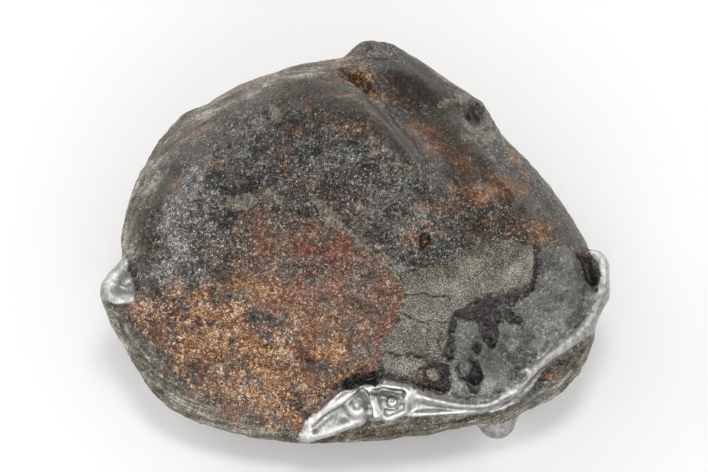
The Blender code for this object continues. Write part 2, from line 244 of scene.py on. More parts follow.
@dataclass
class StoneForm:
    """The stone's form, as a distance that is negative inside it. All sizes are millimetres."""

    view: FrontView = field(default_factory=FrontView)
    softness: float = 0.9       # how far the broad faces melt into each other
    search_reach: float = 45.0
    search_steps: int = 30
    nearest_and_farthest: tuple[float, float] = (16.0, -10.0)       # depths toward the eye
    depth_steps: int = 521

    # Faces round the rim: angle in the view of the front side, distance from the core, dome radius
    rim_faces: Knots = (
        (1.1, 25.4, 70.0), (28.0, 26.0, 70.0), (37.2, 20.6, 70.0), (50.4, 17.7, 70.0), (76.0, 23.5, 70.0),
        (91.5, 17.6, 70.0), (114.1, 19.3, 70.0), (132.0, 22.2, 70.0), (151.5, 21.4, 70.0),
        (170.9, 23.5, 70.0), (191.8, 25.0, 70.0), (213.4, 28.8, 70.0), (226.0, 29.8, 70.0),
        (238.0, 29.8, 70.0), (252.5, 28.6, 70.0), (275.8, 20.85, 90.0), (300.0, 29.4, 70.0),
        (318.0, 30.25, 70.0), (332.0, 30.75, 70.0),
    )
    # The other broad faces: direction (right, back, up), distance from the core, dome radius
    broad_faces: Knots = (
        (-0.04, -0.62, 0.78, 8.6, 90.0),    # the big front face
        (-0.02, -0.26, 0.97, 11.3, 60.0),   # the roll from the front to the top
        (0.30, -0.52, 0.80, 12.9, 90.0),    # the metal end of the front
        (-0.45, -0.35, 0.82, 14.9, 80.0),   # the left of the front
        (-0.42, 0.22, 0.88, 15.6, 80.0),    # the left shoulder
        (0.00, 0.15, 0.99, 13.0, 60.0),     # the top
        (0.34, 0.26, 0.90, 13.5, 90.0),     # the right of the top
        (0.72, 0.05, 0.69, 19.0, 80.0),     # the right shoulder
        (0.05, 0.78, 0.62, 22.2, 70.0),     # the upper back
        (0.00, 0.97, -0.20, 20.1, 70.0),    # the back
        (0.10, 0.62, -0.78, 18.7, 60.0),    # the lower back
        (0.00, 0.00, -1.00, 13.0, 67.0),    # the underside
        (-0.65, 0.10, -0.75, 22.7, 60.0),   # the lower left
        (0.70, 0.00, -0.72, 23.9, 60.0),    # the lower right
        (0.05, -0.62, -0.78, 26.6, 60.0),   # the lower front
    )
    raised_ropes: tuple[Rope, ...] = (
        # Left knob
        Rope(Place.OUTSTANDING, 0.8, ((-22.9, -5.6, 1.2, 2.5), (-22.2, -4.0, 0.9, 1.85)), 0.4),
        # Left heel
        Rope(Place.OUTSTANDING, 2.0, ((-22.2, -8.0, -0.6, 2.1), (-20.3, -10.3, -0.8, 2.1))),
        # Right knob
        Rope(Place.OUTSTANDING, 0.7, ((23.7, -3.2, 0.6, 1.85), (23.5, -5.2, 0.8, 2.1))),
        # Top mound
        Rope(Place.OUTSTANDING, 2.4, (
            (2.2, 16.6, -2.8, 2.2), (4.4, 15.2, -3.0, 3.0), (7.2, 12.7, -3.0, 2.7), (9.9, 11.0, -2.4, 2.65),
            (11.2, 9.9, -1.6, 1.9),
        )),
        # Top peak
        Rope(Place.OUTSTANDING, 1.6, ((1.6, 17.75, -2.4, 1.75), (3.1, 17.25, -2.6, 1.85))),
        # Rim bump
        Rope(Place.OUTSTANDING, 1.0, ((11.7, 11.8, -1.0, 1.8), (13.0, 10.4, -0.8, 1.0))),
        # Foot
        Rope(Place.OUTSTANDING, 1.6, ((14.5, -15.8, -0.8, 2.3), (14.3, -18.4, -1.0, 1.9)), 0.35),
        # Left rolled edge
        Rope(Place.SEEN, 2.0, (
            (-17.2, 11.6, 1.8, 0.1), (-20.0, 7.8, 1.8, 0.3), (-21.6, 4.2, 1.7, 0.3), (-22.6, 0.6, 1.5, 0.2),
        )),
        # Dome
        Rope(Place.SEEN, 2.6, (
            (-6.0, 14.2, 4.2, 0.2), (-1.5, 12.6, 4.0, 0.8), (2.4, 10.0, 3.6, 1.1), (5.0, 7.2, 3.0, 0.9),
            (6.6, 4.6, 2.6, 0.3),
        )),
        # Khaki plate
        Rope(Place.SEEN, 1.4, (
            (8.0, -4.6, 2.4, 0.1), (11.0, -3.4, 2.6, 0.2), (14.0, -2.8, 2.4, 0.25), (16.2, -2.8, 2.0, 0.2),
        )),
        # Blue plate
        Rope(Place.SEEN, 0.7, ((20.2, -3.0, 1.9, 0.5), (21.4, -4.8, 1.6, 0.4), (21.0, -6.8, 1.2, 0.2))),
        # Lip root
        Rope(Place.SEEN, 0.8, (
            (-4.7, -20.0, 0.6, 0.5), (-3.4, -18.9, 1.0, 0.7), (-1.8, -17.6, 1.5, 1.0),
            (-0.3, -16.6, 1.9, 1.2), (1.4, -16.6, 1.9, 1.2), (3.2, -16.4, 2.0, 1.2), (4.6, -16.3, 1.5, 0.9),
        ), 0.2),
        # Lip upper ridge
        Rope(Place.SEEN, 0.5, (
            (-4.2, -18.7, 0.5, 0.5), (-2.9, -17.4, 0.55, 1.1), (-1.6, -16.1, 0.6, 1.7),
            (-0.3, -15.1, 0.6, 1.6),
        ), 0.15),
        # Lip lower ridge
        Rope(Place.SEEN, 0.5, (
            (-4.4, -19.9, 0.5, 0.5), (-2.6, -19.3, 0.6, 1.0), (-0.8, -18.4, 0.7, 1.4), (0.6, -18.0, 0.7, 1.4),
        ), 0.15),
        # Lip middle lobe
        Rope(Place.SEEN, 0.6, ((0.3, -16.9, 0.9, 2.0),), 0.1),
        # Lip second lobe
        Rope(Place.SEEN, 0.5, ((1.8, -15.9, 0.6, 1.9), (2.2, -17.2, 0.7, 2.0)), 0.1),
        # Lip right lobe
        Rope(Place.SEEN, 0.5, ((3.4, -17.6, 0.7, 1.7), (4.8, -17.1, 0.6, 1.4)), 0.15),
        # Lip arch
        Rope(Place.SEEN, 0.5, (
            (1.0, -14.9, 0.5, 1.2), (2.6, -14.5, 0.55, 1.3), (4.0, -14.8, 0.6, 1.2), (5.3, -15.2, 0.6, 0.9),
        ), 0.15),
        # Lip nub
        Rope(Place.SEEN, 0.5, ((3.8, -16.1, 0.5, 1.9),), 0.1),
        # Thin lip
        Rope(Place.SEEN, 0.6, (
            (5.0, -15.5, 0.8, 0.7), (6.4, -15.8, 0.6, 0.55), (8.0, -16.25, 0.5, 0.5), (10.3, -16.7, 0.5, 0.5),
            (12.4, -16.8, 0.5, 0.5), (13.8, -16.5, 0.55, 0.55), (15.2, -15.7, 0.65, 0.6),
            (16.2, -14.8, 0.75, 0.6),
        ), 0.1),
        # Side lip
        Rope(Place.SEEN, 1.5, (
            (16.0, -15.0, 0.8, 0.6), (17.0, -13.8, 0.95, 0.6), (18.2, -12.6, 1.0, 0.6),
            (19.5, -11.5, 1.0, 0.6), (21.0, -10.5, 1.0, 0.55), (22.3, -9.5, 1.0, 0.5), (23.3, -8.3, 1.0, 0.5),
            (24.1, -6.8, 1.0, 0.5), (24.5, -5.2, 1.0, 0.4),
        ), 0.05),
        # Second lip
        Rope(Place.SEEN, 0.3, (
            (5.6, -17.8, 0.35, 0.2), (9.3, -17.6, 0.35, 0.3), (12.1, -17.45, 0.35, 0.3),
            (14.4, -17.1, 0.35, 0.2),
        ), 0.1),
        # Back lip
        Rope(Place.FACING, 0.6, (
            (-15.0, 12.0, -1.0, 1.0, 0.3), (-9.0, 16.0, -3.5, 1.1, 0.8), (-3.0, 17.0, -4.5, 1.2, 1.0),
            (2.0, 17.0, -3.5, 1.0, 0.7), (6.0, 17.0, -1.5, 0.9, 0.3),
        ), 0.15),
        # Back knob
        Rope(Place.FACING, 0.9, ((13.0, 13.0, -2.0, 1.9, 1.0), (14.2, 11.0, -2.6, 1.6, 0.7)), 0.2),
        # Back shoulder
        Rope(Place.FACING, 2.4, (
            (-4.0, 12.0, 9.0, 3.4, 0.5), (3.0, 13.0, 8.0, 3.6, 0.7), (9.0, 12.0, 6.0, 3.0, 0.4),
        )),
    )
    sunken_ropes: tuple[Rope, ...] = (
        # Crease
        Rope(Place.SEEN, 0.3, (
            (1.6, 14.6, 0.5, 0.7), (3.4, 12.4, 0.35, 0.5), (5.0, 10.4, 0.3, 0.5), (6.4, 8.8, 0.3, 0.35),
        )),
        # Valley
        Rope(Place.SEEN, 2.4, (
            (4.4, 13.4, 2.6, 0.5), (7.4, 10.0, 3.2, 0.9), (10.0, 6.4, 3.2, 0.7), (12.0, 3.0, 3.0, 0.3),
        )),
        # Ochre pit
        Rope(Place.SEEN, 0.3, ((-1.0, 16.3, 0.6, 0.7), (0.2, 15.8, 1.0, 1.7), (1.2, 15.0, 0.8, 1.1))),
        # Lip crease
        Rope(Place.SEEN, 0.25, ((0.8, -15.6, 0.3, 0.4), (1.2, -16.6, 0.35, 0.6), (1.6, -18.0, 0.3, 0.4))),
        # Lip valley
        Rope(Place.SEEN, 0.4, ((-3.9, -19.3, 0.35, 0.3), (-2.6, -18.2, 0.4, 0.5), (-1.4, -17.4, 0.4, 0.3))),
        # Lip notch
        Rope(Place.SEEN, 0.4, ((2.9, -15.5, 0.4, 0.4), (4.7, -15.8, 0.4, 0.4))),
        # Left hollow
        Rope(Place.SEEN, 2.0, ((-19.0, 5.4, 2.2, 0.4), (-19.6, 2.0, 2.4, 0.5), (-19.6, -1.2, 2.0, 0.3))),
        # Metal dish
        Rope(Place.SEEN, 2.0, ((13.4, -9.6, 2.2, 0.4), (15.8, -9.8, 2.4, 0.6), (17.8, -8.8, 1.8, 0.4))),
        # Lip undercut
        Rope(Place.SEEN, 0.5, (
            (6.4, -18.6, 0.4, 0.3), (9.0, -18.4, 0.5, 0.5), (12.0, -18.2, 0.6, 0.6), (14.8, -17.7, 0.7, 0.8),
            (17.0, -16.0, 0.8, 0.7), (19.2, -13.7, 0.8, 0.6), (21.4, -12.2, 0.8, 0.5),
            (23.2, -10.6, 0.6, 0.3),
        )),
        # Knob pit
        Rope(Place.SEEN, 0.6, ((22.9, -2.7, 0.6, 0.3), (23.3, -3.7, 0.8, 0.6), (23.7, -4.6, 0.6, 0.4))),
        # Slot pit
        Rope(Place.SEEN, 0.25, ((13.2, -9.0, 0.6, 0.6), (13.8, -10.4, 0.7, 0.8), (13.6, -11.4, 0.5, 0.5))),
        # Ring pit
        Rope(Place.SEEN, 0.3, ((7.6, -14.2, 0.6, 0.3), (8.6, -13.8, 0.7, 0.3))),
        # Double pit
        Rope(Place.SEEN, 0.25, ((11.4, -13.2, 0.7, 0.5), (12.2, -14.2, 0.6, 0.6))),
        # Lip pit
        Rope(Place.SEEN, 0.2, ((16.4, -13.2, 0.5, 0.3), (16.8, -13.8, 0.5, 0.3))),
        # Glint pit
        Rope(Place.SEEN, 0.2, ((7.1, -0.2, 0.5, 0.7), (6.9, -0.8, 0.4, 0.5))),
        # Back hollow
        Rope(Place.FACING, 2.2, ((4.0, 18.0, 2.0, 4.0, 0.9), (10.0, 16.0, 1.0, 3.6, 0.7))),
        # Left back hollow
        Rope(Place.FACING, 2.2, ((-13.0, 14.0, -1.0, 3.6, 0.8), (-17.0, 9.0, -3.0, 3.4, 0.7))),
        # Right hollow
        Rope(Place.FACING, 2.0, ((21.0, 6.0, -5.0, 3.2, 0.7), (18.0, 11.0, -3.0, 3.0, 0.5))),
        # Under crease
        Rope(Place.FACING, 0.5, (
            (-16.0, -4.0, -9.0, 0.6, 0.3), (-13.0, 3.0, -9.5, 0.8, 0.6), (-9.0, 9.0, -9.0, 0.6, 0.4),
        )),
        # Back pit
        Rope(Place.FACING, 0.3, ((-6.0, 17.0, 1.0, 1.0, 1.2), (-5.0, 17.0, 0.4, 0.8, 0.8))),
    )

    def __post_init__(self) -> None:
        """Works out the faces' balls and lays the ropes."""
        axes = self.view.axes
        turns = np.radians([face[0] for face in self.rim_faces])
        rim = np.cos(turns)[:, None] * axes[0] + np.sin(turns)[:, None] * axes[1]
        directions = unit(np.vstack([rim, np.array(self.broad_faces)[:, :3]]))
        distances = np.vstack([np.array(self.rim_faces)[:, 1:], np.array(self.broad_faces)[:, 3:]])
        self.ball_radii = distances[:, 1]
        outward = (distances[:, 0] - distances[:, 1])[:, None]
        self.ball_centres = np.array(self.view.core) + directions * outward
        self.raised = [self.lay(rope, 1, self.body) for rope in self.raised_ropes]
        self.sunken = [self.lay(rope, -1, self.bumps) for rope in self.sunken_ropes]

    def body(self, points: np.ndarray) -> np.ndarray:
        """Returns how far points lie outside the broad faces."""
        squares = (points * points).sum(axis=1) - 2 * self.ball_centres @ points.T
        squares += (self.ball_centres * self.ball_centres).sum(axis=1, keepdims=True)
        outside = np.sqrt(np.maximum(squares, 0.0)) - self.ball_radii[:, None]
        largest = outside.max(axis=0)
        return largest + self.softness * np.log(np.exp((outside - largest) / self.softness).sum(axis=0))

    def joined(self, points: np.ndarray, outside: np.ndarray, ropes: list[LaidRope], sign: int) -> np.ndarray:
        """Joins ropes to the stone, or cuts them from it.

        Args:
            points: Rows of x, y, z.
            outside: How far they lie outside the stone without these ropes.
            ropes: The ropes.
            sign: 1 to join them, -1 to cut them.

        Returns:
            How far the points lie outside the stone with the ropes.
        """
        for rope in ropes:
            to_rope = rope.outside(points, rope.blend + 1.0)
            near = to_rope < rope.far
            first, second = sign * outside[near], to_rope[near]
            mix = np.clip(0.5 + 0.5 * (first - second) / rope.blend, 0.0, 1.0)
            outside[near] = sign * (first + (second - first) * mix - rope.blend * mix * (1 - mix))
        return outside

    def bumps(self, points: np.ndarray) -> np.ndarray:
        """Returns how far points lie outside the stone before anything is sunk in it."""
        return self.joined(points, self.body(points), self.raised, 1)

    def whole(self, points: np.ndarray) -> np.ndarray:
        """Returns how far points lie outside the stone."""
        return self.joined(points, self.bumps(points), self.sunken, -1)

    def reach_along(self, directions: np.ndarray, outside: Field) -> np.ndarray:
        """Returns how far from the core the surface lies in each direction."""
        near, far = np.zeros(len(directions)), np.full(len(directions), self.search_reach)
        for _ in range(self.search_steps):
            middle = (near + far) / 2
            beyond = outside(np.array(self.view.core) + directions * middle[:, None]) > 0
            near, far = np.where(beyond, near, middle), np.where(beyond, middle, far)
        return (near + far) / 2

    def spot(self, place: Place, where: tuple[float, ...], outside: Field) -> np.ndarray:
        """Finds a point on the surface.

        Args:
            place: What the numbers in where mean.
            where: The place.
            outside: The distance whose zero is the surface.

        Returns:
            The point's x, y, z.
        """
        if place is Place.FACING:
            direction = unit([where])
            return np.array(self.view.core) + direction[0] * self.reach_along(direction, outside)[0]
        depths = np.linspace(*self.nearest_and_farthest, self.depth_steps)
        line = np.array([self.view.point(*where, depth) for depth in depths])
        outsides = outside(line)
        inside = np.flatnonzero(outsides < 0)
        return line[inside[0]] if len(inside) else line[outsides.argmin()]

    def lay(self, rope: Rope, sign: int, outside: Field) -> LaidRope:
        """Lays a rope in space.

        Args:
            rope: The rope.
            sign: 1 where its knots stand proud of the surface, -1 where they are sunk in it.
            outside: The distance whose zero is the surface.

        Returns:
            The rope with its path.
        """
        rows = []
        for knot in rope.knots:
            if rope.place is Place.OUTSTANDING:
                rows.append([*self.view.point(*knot[:3]), knot[3]])
                continue
            *where, radius, proud = knot
            spot = self.spot(rope.place, tuple(where), outside)
            outward = slope(spot[None], outside)[0]
            rows.append([*(spot + outward * sign * (proud - radius)), radius])
        return LaidRope(rope.blend, smooth_path(np.array(rows)), rope.bare)


@dataclass(frozen=True)
class Outline:
    """A patch inside a smooth line through points (right, up) in the view of the front side."""

    points: Knots
    steps: int = 4      # pieces of the line between two points

    def inside(self, seen: np.ndarray) -> np.ndarray:
        """Returns how far inside the line each point (right, up) lies."""
        line = smooth_path(np.array(self.points), self.steps, closed=True)
        nearest = np.full(len(seen), np.inf)
        within = np.zeros(len(seen), bool)
        for start, end in zip(line, np.roll(line, -1, axis=0)):
            along = end - start
            share = np.clip((seen - start) @ along / (along @ along), 0.0, 1.0)
            nearest = np.minimum(nearest, np.linalg.norm(seen - start - share[:, None] * along, axis=1))
            if along[1]:
                spans = (start[1] > seen[:, 1]) != (end[1] > seen[:, 1])
                crossing = start[0] + (seen[:, 1] - start[1]) * along[0] / along[1]
                within ^= spans & (seen[:, 0] < crossing)
        return np.where(within, nearest, -nearest)


@dataclass(frozen=True)
class Oval:
    """A patch inside an ellipse in the view of the front side, turned from right toward up."""

    right: float
    up: float
    half_long: float
    half_short: float
    degrees: float = 0.0

    def inside(self, seen: np.ndarray) -> np.ndarray:
        """Returns about how far inside the ellipse each point (right, up) lies."""
        turn = math.radians(self.degrees)
        offset = seen - np.array([self.right, self.up])
        along = offset @ np.array([math.cos(turn), math.sin(turn)])
        across = offset @ np.array([-math.sin(turn), math.cos(turn)])
        return (1 - np.hypot(along / self.half_long, across / self.half_short)) * self.half_short


# Patches in the view of the front side, as smooth closed lines through points (right, up), in millimetres
OUTLINES: dict[Finish, tuple[Knots, ...]] = {
    Finish.METAL: (
        ((-5.6, -20.0), (-4.5, -18.3), (-2.6, -16.8), (-1.0, -15.5), (0.5, -14.6), (2.0, -14.3), (3.9, -14.5),
         (5.1, -14.9), (6.5, -15.4), (8.0, -15.9), (10.3, -16.3), (12.4, -16.4), (13.7, -16.1), (15.0, -15.3),
         (16.2, -14.2), (17.6, -12.7), (18.9, -11.6), (20.4, -10.5), (21.9, -9.5), (23.1, -8.2), (24.0, -6.7),
         (24.4, -5.2), (24.7, -3.9), (24.4, -2.6), (23.7, -1.9), (23.8, -1.0), (24.9, -1.2), (26.0, -2.6),
         (26.3, -4.4), (26.0, -6.2), (25.1, -8.2), (24.0, -9.6), (22.6, -10.8), (21.0, -11.8), (19.5, -12.9),
         (18.6, -13.9), (17.9, -15.0), (17.3, -16.0), (16.2, -16.8), (14.6, -17.4), (12.0, -17.8),
         (9.0, -18.0), (5.6, -18.1), (4.3, -18.1), (2.4, -18.3), (0.5, -18.5), (-1.4, -19.3), (-3.3, -20.2),
         (-5.2, -20.7)),
    ),
    Finish.KHAKI: (
        ((2.3, -1.0), (4.2, -2.8), (6.4, -3.3), (8.1, -3.0), (10.0, -1.8), (12.2, -1.0), (14.5, -0.5),
         (16.1, -0.4), (17.8, -1.2), (18.1, -2.0), (17.9, -4.3), (16.6, -5.3), (14.5, -5.6), (12.6, -6.1),
         (10.9, -7.2), (9.9, -7.8), (9.6, -9.0), (9.3, -11.0), (8.4, -12.2), (6.4, -11.8), (4.2, -11.8),
         (2.4, -11.4), (3.6, -10.2), (4.6, -8.5), (5.2, -6.4), (4.9, -4.6), (3.4, -2.6)),
        ((2.3, -12.3), (3.0, -12.0), (4.4, -12.2), (5.8, -12.2), (6.9, -12.2), (6.5, -13.2), (5.5, -14.0),
         (4.6, -14.3), (3.4, -13.6)),
    ),
    Finish.BLUE: (
        ((18.5, -1.6), (20.3, -1.1), (21.7, -1.1), (22.5, -2.5), (23.2, -4.5), (24.4, -5.8), (23.6, -7.6),
         (22.1, -9.3), (19.2, -11.6), (17.4, -13.0), (16.0, -14.6), (14.6, -15.8), (13.2, -16.4),
         (11.3, -16.4), (8.1, -16.0), (9.6, -15.2), (9.6, -12.2), (10.2, -8.6), (11.7, -6.8), (15.8, -5.7),
         (18.2, -4.9)),
        ((15.8, -16.4), (17.5, -15.2), (19.3, -14.6), (19.6, -15.6), (18.6, -16.6), (16.6, -17.2)),
    ),
    Finish.DARK: (
        ((18.05, -1.2), (18.3, -1.1), (18.5, -2.6), (18.35, -4.2), (18.0, -5.2), (17.2, -6.0), (15.9, -6.8),
         (14.6, -7.3), (14.8, -8.2), (14.4, -9.2), (14.5, -10.2), (13.9, -11.1), (13.2, -10.7), (12.8, -9.6),
         (12.5, -8.6), (11.6, -8.4), (10.4, -8.1), (9.9, -7.6), (11.0, -7.3), (12.4, -6.4), (14.6, -6.0),
         (16.8, -5.6), (17.8, -4.6), (18.1, -2.6)),
        ((15.4, -7.4), (16.2, -7.9), (16.9, -8.6), (16.6, -9.0), (15.6, -8.6), (15.0, -7.9)),
        ((9.7, -8.4), (10.3, -8.8), (9.9, -10.4), (10.1, -11.8), (9.4, -12.6), (9.2, -11.2)),
        ((11.8, -10.9), (12.4, -10.6), (12.7, -11.3), (12.4, -11.8), (11.9, -11.7)),
        ((11.2, -12.4), (12.0, -12.3), (12.6, -13.0), (12.7, -14.4), (12.3, -15.6), (11.6, -15.4),
         (11.2, -14.4), (10.6, -14.2), (10.3, -13.4), (10.6, -12.7)),
        ((6.9, -13.4), (7.6, -12.9), (8.7, -12.8), (9.4, -13.2), (9.3, -14.2), (9.6, -15.1), (8.9, -15.7),
         (8.0, -15.3), (6.9, -15.2), (6.6, -14.6), (7.2, -14.0)),
        ((22.6, -1.9), (23.2, -2.2), (23.9, -3.2), (24.2, -4.4), (23.9, -5.0), (23.4, -4.4), (22.9, -3.2)),
        ((-1.1, -14.9), (-0.2, -13.8), (1.4, -13.6), (2.7, -14.2), (2.6, -15.0), (1.0, -14.8), (-0.4, -15.4)),
    ),
    # Painted sheen and glints: a lighter patch on the left
    Finish.SHEEN_GLINTS: (
        ((-18.2, 6.0), (-16.0, 6.6), (-14.2, 4.6), (-13.6, 1.8), (-13.8, -1.0), (-14.2, -3.4), (-15.4, -5.4),
         (-18.6, -6.2), (-20.2, -4.6), (-20.4, -1.4), (-19.6, 2.0), (-18.8, 4.4)),
    ),
    Finish.NIGHT: (
        ((-18.5, 6.0), (-15.0, 9.2), (-11.6, 9.2), (-7.1, 10.2), (-4.3, 9.5), (-7.1, 8.1), (-7.8, 5.3),
         (-9.8, 4.0), (-12.6, 2.6), (-11.6, 1.2), (-12.6, -1.6), (-13.3, -3.7), (-16.0, -3.7), (-18.1, -0.9),
         (-19.8, 1.2)),
        ((-5.7, 10.2), (-2.2, 9.5), (2.2, 8.7), (4.0, 7.4), (1.2, 7.2), (-2.2, 7.0), (-5.0, 6.6)),
        ((2.6, 5.7), (4.7, 6.0), (6.7, 6.9), (9.5, 5.3), (9.5, 3.3), (6.7, 3.3), (4.0, 4.3)),
        ((4.0, -3.0), (4.7, -0.2), (6.7, 1.4), (10.9, 1.3), (13.6, 0.9), (13.3, -0.9), (9.8, -1.9),
         (6.4, -3.3)),
        ((3.3, 18.5), (6.7, 17.5), (10.0, 14.8), (10.2, 12.6), (8.0, 12.8), (5.0, 13.6), (3.0, 15.8)),
        ((-22.9, -1.7), (-21.4, -1.8), (-20.9, -6.4), (-21.9, -6.9), (-21.95, -5.5), (-22.15, -4.5),
         (-22.7, -3.5), (-22.6, -2.6)),
        ((-25.8, -6.6), (-24.6, -6.5), (-23.7, -6.8), (-22.4, -6.6), (-21.6, -6.8), (-21.8, -8.4),
         (-25.6, -8.6)),
    ),
    Finish.PLUM: (
        ((-4.3, 6.7), (-0.2, 6.7), (3.3, 5.7), (4.0, 1.2), (3.3, -1.6), (0.5, -1.0), (-2.2, 1.2), (-5.0, 3.3),
         (-7.1, 4.7)),
        ((4.7, 12.3), (8.1, 12.3), (11.6, 9.5), (15.0, 6.0), (18.5, 3.3), (21.2, -0.2), (18.5, -0.2),
         (13.3, 4.0), (10.2, 6.7), (6.7, 9.2)),
        ((-21.9, -1.9), (-18.1, -1.6), (-15.0, -3.7), (-16.0, -5.7), (-19.5, -8.1), (-22.6, -9.2)),
    ),
    # Painted sheen: lighter, streaked bands along the rims
    Finish.RIM_SHEEN: (
        ((-21.8, -2.2), (-21.4, 0.1), (-21.1, 2.1), (-20.3, 4.6), (-19.3, 6.6), (-18.0, 8.4), (-16.2, 10.1),
         (-13.9, 11.8), (-11.4, 13.4), (-8.6, 14.8), (-5.4, 15.8), (-2.9, 16.4), (-0.9, 16.9), (-0.9, 19.0),
         (-5.4, 19.0), (-10.4, 17.6), (-15.4, 14.8), (-19.9, 11.2), (-22.6, 7.1), (-24.4, 3.1),
         (-25.2, -2.4)),
        ((-23.4, -7.6), (-22.4, -9.4), (-21.2, -10.9), (-19.6, -12.9), (-17.9, -14.5), (-15.6, -16.2),
         (-13.2, -17.5), (-10.7, -18.5), (-8.2, -19.0), (-5.9, -19.6), (-5.9, -22.0), (-10.4, -22.0),
         (-14.5, -21.0), (-18.4, -19.2), (-21.6, -16.9), (-24.2, -13.9), (-25.9, -9.9), (-26.4, -7.6)),
        ((-0.9, -19.2), (4.6, -18.6), (9.6, -18.4), (14.6, -17.6), (18.6, -14.9), (21.6, -12.0), (24.6, -8.4),
         (27.5, -9.4), (24.1, -17.4), (19.6, -19.4), (14.6, -21.0), (8.6, -21.9), (-0.9, -22.0)),
    ),
    Finish.SMOOTH: (
        ((-21.5, -2.6), (-21.2, 0.1), (-20.8, 2.4), (-20.0, 4.6), (-19.0, 6.6), (-17.6, 8.4), (-16.4, 9.4),
         (-15.4, 8.8), (-17.2, 7.0), (-18.4, 5.1), (-19.4, 3.1), (-20.2, 0.6), (-20.5, -2.6)),
        ((6.0, 12.6), (10.0, 11.0), (14.6, 7.6), (18.6, 4.2), (22.6, -0.6), (20.6, -0.8), (16.4, 2.0),
         (12.6, 4.0), (9.0, 6.6), (5.4, 10.2)),
        ((3.3, 17.5), (6.7, 17.5), (10.2, 14.5), (13.3, 13.2), (14.0, 9.2), (11.6, 9.5), (8.1, 12.6),
         (4.4, 13.0), (2.6, 15.4), (1.0, 18.6)),
        ((-2.2, 17.1), (-0.2, 16.1), (2.2, 14.0), (4.7, 11.5), (6.7, 9.2), (7.4, 6.8), (4.7, 7.8),
         (1.9, 10.0), (-0.9, 12.4), (-4.3, 13.4), (-10.4, 12.8), (-15.0, 11.0), (-18.4, 7.6), (-19.6, 8.6),
         (-13.3, 15.4), (-5.7, 17.7)),
    ),
    Finish.OLIVINE: (
        ((-12.3, 0.3), (-11.4, 2.0), (-9.8, 2.8), (-8.2, 2.5), (-4.6, 1.8), (-0.9, 0.7), (1.7, -1.1),
         (3.6, -3.4), (5.1, -6.0), (5.1, -7.0), (4.3, -8.4), (3.1, -10.9), (2.4, -12.4), (1.6, -14.0),
         (-0.4, -13.0), (-3.4, -11.0), (-5.4, -9.5), (-7.7, -8.2), (-9.8, -7.0), (-10.9, -5.9), (-11.6, -2.8),
         (-12.3, -1.4)),
    ),
    Finish.GOLD: (
        ((-20.4, -6.4), (-18.9, -4.9), (-15.4, -5.4), (-12.3, -5.0), (-10.4, -6.4), (-7.7, -8.0),
         (-5.4, -9.1), (-2.4, -10.6), (1.2, -12.2), (0.4, -14.0), (-0.9, -15.6), (-2.4, -17.2), (-3.9, -18.2),
         (-5.6, -19.0), (-8.4, -18.5), (-12.4, -17.3), (-16.2, -15.0), (-19.2, -12.2), (-20.9, -9.9),
         (-21.9, -7.6)),
    ),
}
